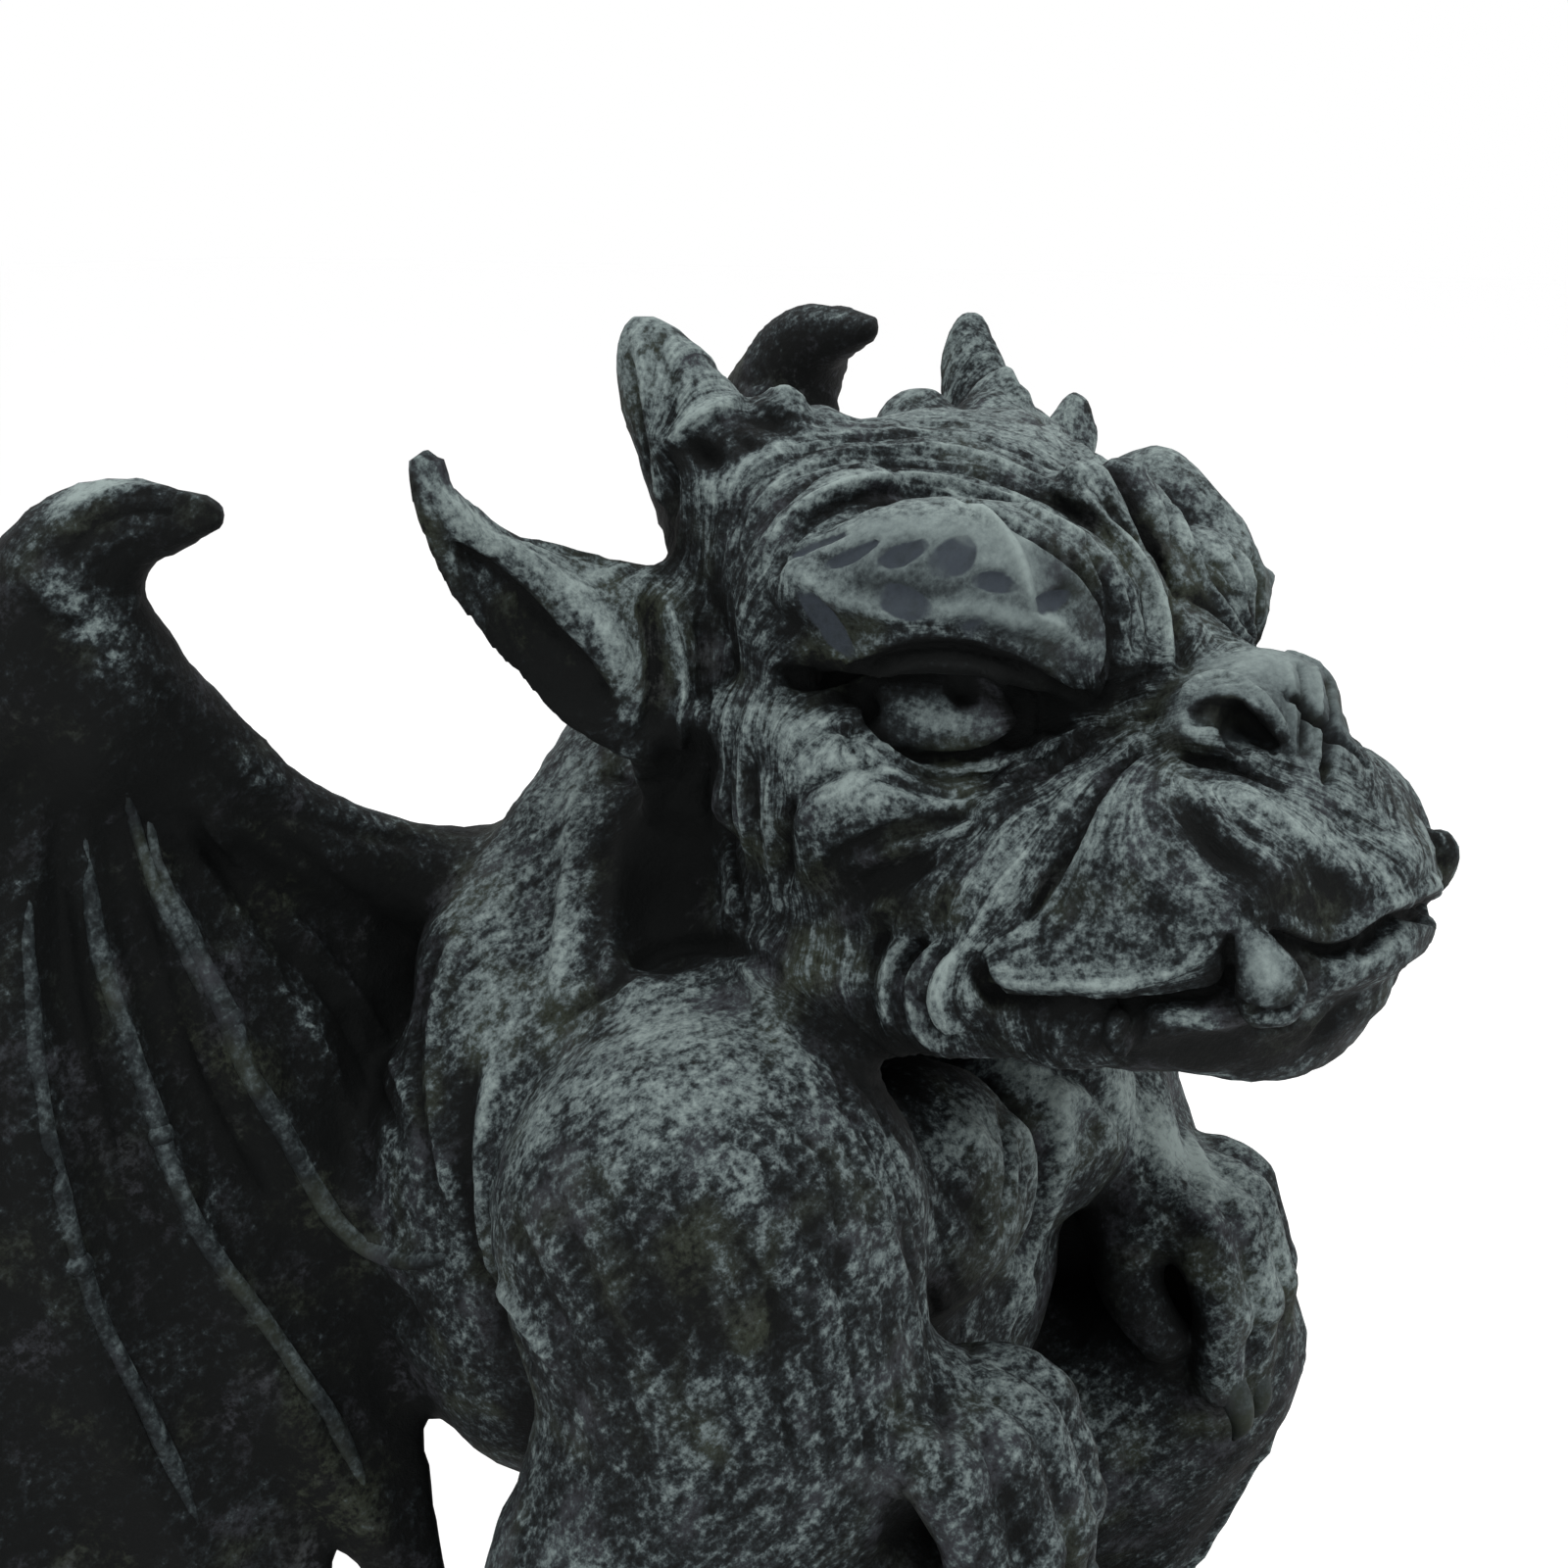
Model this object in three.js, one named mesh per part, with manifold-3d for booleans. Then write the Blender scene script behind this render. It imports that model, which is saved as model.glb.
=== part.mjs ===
// Winged gargoyle statue on its own low plinth: cast resin, millimetres, +Z up.
// The creature faces -Y, its right side is -X. It squats with both hands on its knees.
import * as THREE from 'three';
import Module from 'manifold-3d';

const wasm = await Module();
wasm.setup();

// Driving dimensions (mm)
const PLINTH_HEIGHT = 14;
const PLINTH_HALF_WIDTH = 58;
const PLINTH_HALF_DEPTH = 58;
const PLINTH_STEP = 5;              // how far the lower course stands out
const PLINTH_LOWER_COURSE = 6;
const SEAT_GAP = 0.3;               // between the casting's soles and the plinth
const HEAD_CENTRE = [0, -12, 160];
const HEAD_YAW = -7.6;              // degrees, turned a little towards the creature's right
const HEAD_ROLL = 1.0;
const SHOULDER_X = 36;
const SHOULDER_Z = 113;
const SHOULDER_RADIUS = 20;
const FAR_ARM_SLIP = [-1.5, 2.5, -1.5];
const FAR_HORN_GIRTH = 0.76;        // the creature's left horn is the slimmer one
const WING_THICKNESS = 4.6;
const WING_BONE_RADIUS = 3.3;
const WING_SAG = 3;                 // the skin hangs back between the bones
const WING_SCALLOP = 0.16;          // and its edge is cut in between their tips
const FAR_WING_LIFT = 11.5;         // the creature's left wing is carried a little higher
const FAR_WING_FORWARD = 7;
const FINE_CELL = 1.3;              // pitch of the sculpting lattice round the head
const COARSE_CELL = 2.6;            // and elsewhere
const FIGURE_TRIANGLES = 8600;
const HEAD_WEIGHT = 7;              // keeps more of the small faces on the head

// Lattice that the clay is laid on
const low = [-92, -60, 10];
const high = [92, 86, 206];
const fineFrom = [-55, -60, 124];
const fineTo = [55, 22, 196];
const ticks = [0, 1, 2].map((a) => {
  const out = [];
  for (let v = low[a]; v < high[a];) {
    out.push(v);
    v += v >= fineFrom[a] && v < fineTo[a] ? FINE_CELL : COARSE_CELL;
  }
  return out;
});
const count = ticks.map((t) => t.length);
const total = count[0] * count[1] * count[2];
const clay = new Float64Array(total).fill(30);

function turnRows(yaw, pitch, roll) {
  const rad = Math.PI / 180;
  const m = new THREE.Matrix4().makeRotationZ(yaw * rad);
  m.multiply(new THREE.Matrix4().makeRotationX(pitch * rad));
  m.multiply(new THREE.Matrix4().makeRotationY(roll * rad));
  const e = m.elements;
  return [[e[0], e[1], e[2]], [e[4], e[5], e[6]], [e[8], e[9], e[10]]];
}

function smoothMin(a, b, k) {
  const h = Math.max(k - Math.abs(a - b), 0);
  return Math.min(a, b) - (h * h) / (4 * k);
}

// Rows resampled on a Catmull-Rom curve, any number of values in a row
function smoothRows(rows, steps) {
  if (rows.length < 3) return rows;
  const n = rows.length;
  const first = rows[0].map((v, i) => 2 * v - rows[1][i]);
  const last = rows[n - 1].map((v, i) => 2 * v - rows[n - 2][i]);
  const all = [first, ...rows, last];
  const out = [];
  for (let s = 1; s < n; s++) {
    for (let j = 0; j < steps; j++) {
      const t = j / steps;
      out.push(all[s].map((b, i) => {
        const [a, c, d] = [all[s - 1][i], all[s + 1][i], all[s + 2][i]];
        return 0.5 * (2 * b + (c - a) * t + (2 * a - 5 * b + 4 * c - d) * t * t
          + (3 * b - a - 3 * c + d) * t * t * t);
      }));
    }
  }
  out.push(rows[n - 1]);
  return out;
}

const unit = (v) => v.map((c) => c / Math.hypot(...v));

// A frame in which lumps of clay are placed. fold: the frame is mirrored across its x = 0 plane.
class Frame {
  constructor(origin, rows, fold) {
    this.x = new Float64Array(total);
    this.y = new Float64Array(total);
    this.z = new Float64Array(total);
    let n = 0;
    for (let k = 0; k < count[2]; k++) {
      for (let j = 0; j < count[1]; j++) {
        for (let i = 0; i < count[0]; i++, n++) {
          const v = [ticks[0][i] - origin[0], ticks[1][j] - origin[1], ticks[2][k] - origin[2]];
          const along = (r) => r[0] * v[0] + r[1] * v[1] + r[2] * v[2];
          this.x[n] = fold ? Math.abs(along(rows[0])) : along(rows[0]);
          this.y[n] = along(rows[1]);
          this.z[n] = along(rows[2]);
        }
      }
    }
  }

  lay(points, reach, blend, cut, distance) {
    const lo = [0, 1, 2].map((a) => Math.min(...points.map((p) => p[a])) - reach - 8);
    const hi = [0, 1, 2].map((a) => Math.max(...points.map((p) => p[a])) + reach + 8);
    const { x, y, z } = this;
    for (let n = 0; n < total; n++) {
      if (x[n] < lo[0] || x[n] > hi[0] || y[n] < lo[1] || y[n] > hi[1]) continue;
      if (z[n] < lo[2] || z[n] > hi[2]) continue;
      const d = distance(x[n], y[n], z[n]);
      clay[n] = cut ? -smoothMin(-clay[n], d, blend) : smoothMin(clay[n], d, blend);
    }
  }

  // Ellipsoid
  ball(centre, radii, { turn = [0, 0, 0], k = 3, cut = false } = {}) {
    const m = turnRows(...turn);
    const [a, b, c] = radii;
    const least = Math.min(a, b, c);
    this.lay([centre], Math.max(a, b, c), k, cut, (x, y, z) => {
      const v = [x - centre[0], y - centre[1], z - centre[2]];
      const [p, q, r] = m.map((w) => w[0] * v[0] + w[1] * v[1] + w[2] * v[2]);
      const s = Math.hypot(p / a, q / b, r / c);
      const g = Math.hypot(p / (a * a), q / (b * b), r / (c * c));
      return s < 0.05 ? -least : (s * (s - 1)) / g;
    });
  }

  // Tapered rod along a curve; rows are [x, y, z, radius]; flat = [direction, ratio] thins it that way
  limb(rows, { k = 3, cut = false, flat = null, steps = 4 } = {}) {
    const curve = smoothRows(rows, steps);
    const axis = flat ? unit(flat[0]) : [0, 0, 1];
    const extra = flat ? flat[1] - 1 : 0;
    const stretch = (x, y, z) => {
      const s = (x * axis[0] + y * axis[1] + z * axis[2]) * extra;
      return [x + axis[0] * s, y + axis[1] * s, z + axis[2] * s];
    };
    const at = curve.map((r) => [...stretch(r[0], r[1], r[2]), Math.max(r[3], 0.3)]);
    const scale = flat ? 1 / Math.sqrt(flat[1]) : 1;
    this.lay(curve, Math.max(...rows.map((r) => r[3])), k, cut, (px, py, pz) => {
      const [x, y, z] = stretch(px, py, pz);
      let best = 1e3;
      for (let s = 0; s + 1 < at.length; s++) {
        const [a, b] = [at[s], at[s + 1]];
        const [ux, uy, uz] = [b[0] - a[0], b[1] - a[1], b[2] - a[2]];
        const [vx, vy, vz] = [x - a[0], y - a[1], z - a[2]];
        const len = ux * ux + uy * uy + uz * uz;
        const t = Math.min(Math.max((vx * ux + vy * uy + vz * uz) / len, 0), 1);
        const d = Math.hypot(vx - ux * t, vy - uy * t, vz - uz * t) - a[3] - (b[3] - a[3]) * t;
        best = Math.min(best, d);
      }
      return best * scale;
    });
  }

  // Skin of even thickness stretched over a net of points
  sheet(net, thickness, { k = 2, steps = 3 } = {}) {
    const rows = net.map((row) => smoothRows(row, steps));
    const across = rows[0].map((_, i) => smoothRows(rows.map((row) => row[i]), steps));
    const faces = [];
    for (let i = 0; i + 1 < across.length; i++) {
      for (let j = 0; j + 1 < across[0].length; j++) {
        const [a, b] = [across[i][j], across[i + 1][j]];
        const [c, d] = [across[i + 1][j + 1], across[i][j + 1]];
        faces.push([a, b, c], [a, c, d]);
      }
    }
    const tri = new THREE.Triangle();
    const [here, there] = [new THREE.Vector3(), new THREE.Vector3()];
    for (const f of faces) {
      const area = new THREE.Vector3().subVectors(new THREE.Vector3(...f[1]), new THREE.Vector3(...f[0]))
        .cross(new THREE.Vector3().subVectors(new THREE.Vector3(...f[2]), new THREE.Vector3(...f[0])));
      if (area.length() < 1e-3) continue;
      const corners = f.map((v) => new THREE.Vector3(...v));
      this.lay(f, thickness, 0.6, false, (x, y, z) => {
        tri.set(corners[0], corners[1], corners[2]);
        tri.closestPointToPoint(here.set(x, y, z), there);
        return there.distanceTo(here) - thickness / 2;
      });
    }
  }
}

const straight = [[1, 0, 0], [0, 1, 0], [0, 0, 1]];
const body = new Frame([0, 0, 0], straight, true);
const head = new Frame(HEAD_CENTRE, turnRows(HEAD_YAW, 0, HEAD_ROLL), true);
const headSide = new Frame(HEAD_CENTRE, turnRows(HEAD_YAW, 0, HEAD_ROLL), false);
const whole = new Frame([0, 0, 0], straight, false);

// Trunk
body.ball([0, 20, 42], [29, 22, 22], { k: 6 });
body.ball([0, 15, 68], [26, 24, 27]);
body.ball([0, 7, 94], [30, 20, 26]);
body.ball([13, -6, 109], [15, 12, 13]);
body.ball([0, 26, 116], [31, 20, 26]);
body.ball([30, 24, 106], [16, 20, 28], { k: 4 });
body.limb([[0, 18, 138, 24], [0, 6, 148, 20], [0, -4, 154, 17]], { k: 6 });
body.limb([[12, 24, 140, 13], [22, 16, 130, 13], [30, 8, 122, 12]], { k: 4 });
body.limb([[20, 30, 140, 6], [28, 31, 130, 8.5]], { k: 4 });

// Arms: the far one is a little slimmer and drawn further back than the near one
function arm(side, slip, [shoulder, upper, bulge, elbow, fore]) {
  const at = ([x, y, z, ...rest]) => [side * (x + slip[0]), y + slip[1], z + slip[2], ...rest];
  whole.limb([at(shoulder), at(upper), at(elbow)], { k: 3 });
  whole.ball(at(bulge), [bulge[3], bulge[3], bulge[3] * 1.12], { k: 4 });
  whole.limb([at(elbow), at(fore), at([35, -13, 97, 8])], { k: 4 });
  whole.ball(at([31, -19, 96]), [9, 8, 6.5], { k: 3 });
  for (let f = 0; f < 4; f++) {
    const x = 23 + f * 5.4;
    const reach = [0, 1.4, 1, -1][f];
    whole.limb([
      [x + 1, -16, 96, 3.6], [x, -24.4 - reach, 97.6, 3.7], [x - 0.4, -29 - reach, 91, 3.2],
      [x - 0.4, -29.5 - reach, 84, 2.9], [x - 0.4, -30.5 - reach, 77, 1],
    ].map(at), { k: 1.5 });
  }
  whole.limb([[26, -15, 95, 4.2], [20, -20, 90, 3.8], [20.5, -24, 84, 2.9], [21, -26, 78, 1]].map(at), { k: 1.5 });
}

arm(-1, [0, 0, 0], [
  [SHOULDER_X, 1, SHOULDER_Z, SHOULDER_RADIUS], [39, -2, 97, 17], [38, -9, 97, 12.5],
  [48, 3, 80, 12], [43, -5, 91, 11],
]);
arm(1, FAR_ARM_SLIP, [
  [SHOULDER_X + 0.5, 1.5, SHOULDER_Z - 0.5, SHOULDER_RADIUS * 0.85], [39.5, -1.5, 97.5, 14.5], [39, -7, 96, 10],
  [48, 2, 82, 11], [43, -5, 93, 10],
]);

// Legs
const knee = [33, -18, 74];
body.limb([[17, 20, 44, 20], [26, 2, 60, 18], [...knee, 12.5]], { k: 6 });
body.limb([[...knee, 12], [35, -10, 54, 12], [34, -3, 34, 8.5], [33, 0, 26, 8]], { k: 4 });
body.limb([[33, 8, 21, 7.5], [34, -10, 21, 8], [35, -24, 19, 7.5]], { k: 4 });
for (let t = 0; t < 4; t++) {
  const spread = (t - 1.5) * 0.3;
  const at = (r, z, w) => [35 + (t - 1.5) * 4 + Math.sin(spread) * r, -23 - Math.cos(spread) * r, z, w];
  body.limb([at(0, 20, 4.6), at(9, 20, 4.4), at(16, 17.5, 3.6), at(23, 16, 1.2)], { k: 1.5 });
}

// Head
head.ball([0, 10, 3], [24, 23, 21]);
headSide.limb([[-8, -10, 8, 6], [-15.5, -9.2, 10, 7.4], [-23, -3.4, 11.4, 6.8], [-27.8, 2.6, 11.4, 3.6]], { k: 3 });
headSide.limb([[8, -10, 8, 6], [15, -10.8, 8.2, 5.9], [16.4, -4, 14.2, 5.6], [23, 1.5, 14.6, 4.4]], { k: 3 });
head.ball([11, -11.5, 6], [6.5, 6.5, 6], { k: 2 });
head.limb([[3.2, -8, 18, 2.6], [3.4, -13, 10, 2.8], [3, -16.5, 3, 2.6]], { k: 2 });
// snout, cheeks and upper lip
head.limb([[0, -10, -4, 13.6], [0, -19, -6.5, 10.4], [0, -25, -7, 8.8]], { k: 4 });
head.limb([[10, -13, -8, 5], [19, -8, -10, 6], [26, 2, -9, 6], [28, 12, -8, 5]], { k: 3 });
head.ball([19, 4, -15], [10.5, 13, 16], { k: 4 });
head.ball([0, -20, -12], [22, 18.2, 10], { k: 4 });
head.ball([20, -9, -16], [8, 11, 9], { k: 4 });
head.ball([12, -25, -13], [12, 12.5, 9], { k: 3 });
head.limb([
  [0, -38, -13.5, 3.4], [6, -36.5, -15, 3.6], [16, -30, -17.5, 4], [21.5, -22, -20, 4.2], [24, -14, -21, 3.4],
], { k: 3 });
// eye under the brow
head.ball([22, -9, -1], [10, 6.5, 5.2], { turn: [46, 0, 0], k: 1.5, cut: true });
head.limb([[27.5, -3, -7.5, 3.2], [26.5, 2, -4.8, 5], [27, 9, -3.6, 5.6], [28, 15, -5, 4.6]], { k: 2 });
head.ball([16.5, -2, -1], [9, 9, 7.5], { k: 0.8 });
head.limb([[27, 0.5, -1, 1.2], [22.5, -6, -5.6, 1.4], [15, -12, -3.6, 1.2]], { k: 1 });
head.limb([
  [4, -15, 5, 2.6], [10, -15, 3.4, 2.8], [17.5, -12.4, 4.6, 2.6], [25, -5, 7.6, 2.4], [30, 4.5, 10.4, 2],
], { k: 1.5 });
// nose
head.ball([0, -25.5, -1], [9.5, 7.5, 6], { k: 2 });
head.ball([7.5, -25, -1.5], [5, 6, 4.6], { k: 1.5 });
head.ball([9.4, -28.6, -0.8], [2.8, 3.4, 2.4], { k: 1, cut: true });
// lower jaw, lip and mouth
head.ball([0, -10, -26], [20, 21, 6.2], { k: 4 });
head.limb([
  [25, 6, -26, 7], [23, -8, -26.4, 5], [16, -21.5, -26.2, 4.4], [6.5, -29.5, -28, 5], [0, -31, -28, 5.4],
], { k: 3 });
head.limb([[20, -18, -26.5, 4], [13, -27.5, -25.6, 4.4], [6, -32.5, -24.8, 4.6], [0, -34, -24.4, 4.8]], { k: 2 });
head.limb([
  [24, -15, -26.4, 1.8], [21, -24, -25.4, 2], [15.5, -32, -22.8, 2.2], [8, -37, -20.8, 2.6], [0, -38.6, -19.8, 3],
], { k: 2.5 });
head.limb([
  [0, -44, -17, 0.9], [7, -42, -18, 0.9], [18.5, -33.5, -21, 0.9], [24, -24.5, -23.8, 1], [28.5, -15, -24.6, 1.1],
], { k: 0.8, cut: true });
head.ball([26, -11, -23.2], [3, 4.2, 4], { k: 0.8 });
head.limb([[15.5, -35.2, -22, 2.9], [16, -36.2, -19.8, 2.6], [16.8, -34.8, -15.6, 1.1]], { k: 0.8 });
// ear
const earFace = [0.42, -0.88, 0.2];
head.limb([
  [27, 19, 0.6, 10], [33, 22.5, 2.8, 8.4], [39, 25.5, 6.8, 6.2], [45, 27.6, 11.6, 4.1], [49.5, 28.4, 17, 2.8],
  [52, 28.6, 21, 1.9],
], { k: 2.5, flat: [earFace, 2.4] });
head.limb([[28.5, 20, -8, 4], [28.5, 19, -14, 3.6], [27, 14, -20, 3]], { k: 2 });
// horn in its ring of knobs
for (const [side, girth] of [[-1, 1], [1, FAR_HORN_GIRTH]]) {
  headSide.limb([
    [20, 17.8, 13, 7.8], [22.6, 21.2, 20, 6.2], [24.2, 24, 25.6, 4.9], [25.2, 25.6, 29, 3.5], [25.7, 26.1, 30.8, 2.3],
  ].map(([x, y, z, r]) => [side * x, y, z, r * girth]));
}
const knobs = [
  [18, 18.4, 23.6, 3.4], [13.6, 17, 22.6, 3.2], [18.6, 12.6, 19, 3], [24.2, 15.5, 17.6, 3], [21.8, 20.6, 22.4, 2.8],
];
for (const [x, y, z, r] of knobs) head.ball([x, y, z], [r, r, r], { k: 2 });

// Wings: each hangs from the wrist as a fan of bones with skin between
for (const side of [-1, 1]) {
  const lift = side > 0 ? FAR_WING_LIFT : 0;
  const forward = side > 0 ? FAR_WING_FORWARD : 0;
  const set = ([x, y, z, ...rest]) => {
    const w = Math.min(Math.max((z - 60) / 100, 0), 1);
    return [side * x, y - forward * w, z + lift * w * w, ...rest];
  };
  const wristJoint = [55, 60, 160];
  const arm = [wristJoint, [45, 53.5, 150.5], [36, 48.5, 143], [26, 43, 137], [16, 36, 133]];
  const root = [wristJoint, arm[2], [18, 40, 128], [18, 41, 112], [26, 38, 98]];
  const bones = [
    [wristJoint, [51, 54, 139], [48, 46, 122], [42, 39, 107], [34, 33, 98]],
    [wristJoint, [56, 57, 134], [55, 50, 112], [50, 40, 88], [42, 31, 66]],
    [wristJoint, [63, 61, 136], [65, 58, 116], [62, 52, 88], [52, 40, 56]],
    [wristJoint, [71, 69, 140], [79, 74, 116], [80, 70, 86], [70, 58, 54]],
  ];
  const net = [root];
  bones.forEach((bone, i) => {
    const last = i ? bones[i - 1] : root;
    net.push(bone.map((p, j) => {
      const t = j / (bone.length - 1);
      const pull = t * t * WING_SCALLOP;
      const middle = p.map((v, a) => (v + last[j][a]) / 2);
      const hang = WING_SAG * Math.sin(Math.PI * Math.min(t, 0.8));
      return middle.map((v, a) => v + (wristJoint[a] - v) * pull + [-0.5, 0.85, 0][a] * hang);
    }), bone);
  });
  whole.sheet(net.map((row) => row.map(set)), WING_THICKNESS, { steps: 2 });
  for (const bone of bones) {
    const taper = (i) => WING_BONE_RADIUS * (1.15 - 0.13 * i);
    whole.limb(bone.map((p, i) => set([...p, taper(i)])), { k: 1 });
    for (const i of [2, 3]) whole.ball(set(bone[i]), [3.6, 3.6, 3.6], { k: 1 });
  }
  whole.limb(arm.map((p, i) => set([...p, [6, 5, 4.6, 5.4, 8][i]])), { k: 3 });
  whole.ball(set([55.4, 57.4, 160]), [6, 6, 11], { k: 3 });
  whole.limb([
    set([57.6, 62, 162, 7.6]), set([56.8, 57.2, 170.2, 6.6]), set([54.5, 52.6, 175, 4.7]),
    set([52.2, 43.6, 176.6, 1.8]),
  ], { k: 2 });
}

// Bowl of the ear, and the deep hollow between jaw and neck
head.limb([
  [47.5, 26, 11.4, 1.5], [44, 24.6, 6.4, 2.5], [41.5, 23.2, 2.6, 2.6], [39, 21.4, -1, 1.9],
], { k: 1.2, cut: true });
head.limb([
  [32.1, 14.6, -6.4, 2.7], [30.9, 17.1, -10.3, 4], [31, 18.2, -16, 5.3], [32.1, 18.2, -22.3, 4.9],
], { k: 3, cut: true });

// Soles and seat are cut flat where they stand on the plinth
const sole = PLINTH_HEIGHT + SEAT_GAP;
for (let n = 0; n < total; n++) {
  clay[n] = Math.max(clay[n], sole - whole.z[n]);
  if (Math.abs(clay[n]) < 1e-4) clay[n] = 1e-4;
}

// One solid with no bubbles: air that the outside doesn't reach is filled, loose crumbs are dropped
function reached(seed, wanted) {
  const strides = [1, count[0], count[0] * count[1]];
  const seen = new Uint8Array(total);
  const stack = [seed];
  seen[seed] = 1;
  while (stack.length) {
    const n = stack.pop();
    const at = [n % count[0], Math.floor(n / strides[1]) % count[1], Math.floor(n / strides[2])];
    for (let a = 0; a < 3; a++) {
      for (const step of [-1, 1]) {
        const m = n + step * strides[a];
        const inside = at[a] + step >= 0 && at[a] + step < count[a];
        if (inside && !seen[m] && wanted(clay[m])) {
          seen[m] = 1;
          stack.push(m);
        }
      }
    }
  }
  return seen;
}

const air = reached(0, (v) => v > 0);
for (let n = 0; n < total; n++) if (clay[n] > 0 && !air[n]) clay[n] = -1;
const heart = [0, 20, 80].map((v, a) => ticks[a].findIndex((t) => t > v));
const solid = reached(heart[0] + count[0] * (heart[1] + count[1] * heart[2]), (v) => v < 0);
for (let n = 0; n < total; n++) if (clay[n] < 0 && !solid[n]) clay[n] = 1;

// Skin of the clay: every lattice cube is cut into six tetrahedra
function skin() {
  const stride = [1, count[0], count[0] * count[1]];
  const paths = [[0, 1, 2], [1, 2, 0], [2, 0, 1], [0, 2, 1], [2, 1, 0], [1, 0, 2]];
  const tets = paths.map((p) => {
    const at = [0];
    for (const a of p) at.push(at[at.length - 1] + stride[a]);
    return at;
  });
  const where = (n) => [whole.x[n], whole.y[n], whole.z[n]];
  const seen = new Map();
  const vertices = [];
  const faces = [];
  const between = (a, b) => {
    const key = Math.min(a, b) * total + Math.max(a, b);
    if (!seen.has(key)) {
      const t = Math.min(Math.max(clay[a] / (clay[a] - clay[b]), 0.03), 0.97);
      const [p, q] = [where(a), where(b)];
      seen.set(key, vertices.length);
      vertices.push(p.map((v, i) => v + (q[i] - v) * t));
    }
    return seen.get(key);
  };
  const face = (a, b, c, inside) => {
    const [p, q, r] = [vertices[a], vertices[b], vertices[c]];
    const u = q.map((v, i) => v - p[i]);
    const w = r.map((v, i) => v - p[i]);
    const normal = [u[1] * w[2] - u[2] * w[1], u[2] * w[0] - u[0] * w[2], u[0] * w[1] - u[1] * w[0]];
    const from = where(inside);
    const out = normal.reduce((s, v, i) => s + v * (p[i] - from[i]), 0) > 0;
    faces.push(out ? [a, b, c] : [a, c, b]);
  };
  for (let k = 0; k + 1 < count[2]; k++) {
    for (let j = 0; j + 1 < count[1]; j++) {
      for (let i = 0; i + 1 < count[0]; i++) {
        const n = i + j * stride[1] + k * stride[2];
        const sign = clay[n] < 0;
        let mixed = false;
        for (let c = 1; c < 8 && !mixed; c++) {
          const m = n + (c & 1) + ((c >> 1) & 1) * stride[1] + (c >> 2) * stride[2];
          mixed = clay[m] < 0 !== sign;
        }
        if (!mixed) continue;
        for (const tet of tets) {
          const at = tet.map((o) => n + o);
          const inner = at.filter((m) => clay[m] < 0);
          const outer = at.filter((m) => clay[m] >= 0);
          if (inner.length === 1) {
            face(...outer.map((m) => between(inner[0], m)), inner[0]);
          } else if (inner.length === 3) {
            face(...inner.map((m) => between(m, outer[0])), inner[0]);
          } else if (inner.length === 2) {
            const [a, b] = inner;
            const [c, d] = outer;
            face(between(a, c), between(a, d), between(b, d), a);
            face(between(a, c), between(b, d), between(b, c), b);
          }
        }
      }
    }
  }
  return { vertices, faces };
}

// Fewer, larger facets: the cheapest edges are closed up one by one
const EDGE_PENALTY = 1.2e-3;        // keeps the facets from growing into slivers

function facet(a, b, c) {
  const [ux, uy, uz] = [b[0] - a[0], b[1] - a[1], b[2] - a[2]];
  const [wx, wy, wz] = [c[0] - a[0], c[1] - a[1], c[2] - a[2]];
  return [uy * wz - uz * wy, uz * wx - ux * wz, ux * wy - uy * wx];
}

const length3 = (v) => Math.sqrt(v[0] * v[0] + v[1] * v[1] + v[2] * v[2]);
const distance3 = (a, b) => length3([a[0] - b[0], a[1] - b[1], a[2] - b[2]]);

// Squared distance of a point to a sum of planes
function price(q, [x, y, z]) {
  return x * (q[0] * x + 2 * (q[1] * y + q[2] * z + q[3])) + y * (q[4] * y + 2 * (q[5] * z + q[6]))
    + z * (q[7] * z + 2 * q[8]) + q[9];
}

// Point where that sum is least, or null where the planes leave it open
function leastPoint(q) {
  const [a, b, c, , e, f, , i] = q;
  const [r, s, t] = [-q[3], -q[6], -q[8]];
  const whole3 = a * (e * i - f * f) - b * (b * i - f * c) + c * (b * f - e * c);
  if (Math.abs(whole3) < 1e-3 * a * e * i + 1e-12) return null;
  return [
    (r * (e * i - f * f) - b * (s * i - f * t) + c * (s * f - e * t)) / whole3,
    (a * (s * i - f * t) - r * (b * i - f * c) + c * (b * t - s * c)) / whole3,
    (a * (e * t - s * f) - b * (b * t - s * c) + r * (b * f - e * c)) / whole3,
  ];
}

class Queue {
  constructor() {
    this.heap = [];
  }

  push(e) {
    const { heap } = this;
    let i = heap.push(e) - 1;
    while (i > 0) {
      const up = (i - 1) >> 1;
      if (heap[up].cost <= e.cost) break;
      heap[i] = heap[up];
      i = up;
    }
    heap[i] = e;
  }

  pop() {
    const { heap } = this;
    const top = heap[0];
    const e = heap.pop();
    const n = heap.length;
    let i = 0;
    while (n) {
      let c = 2 * i + 1;
      if (c >= n) break;
      if (c + 1 < n && heap[c + 1].cost < heap[c].cost) c++;
      if (heap[c].cost >= e.cost) break;
      heap[i] = heap[c];
      i = c;
    }
    if (n) heap[i] = e;
    return top;
  }
}

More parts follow.
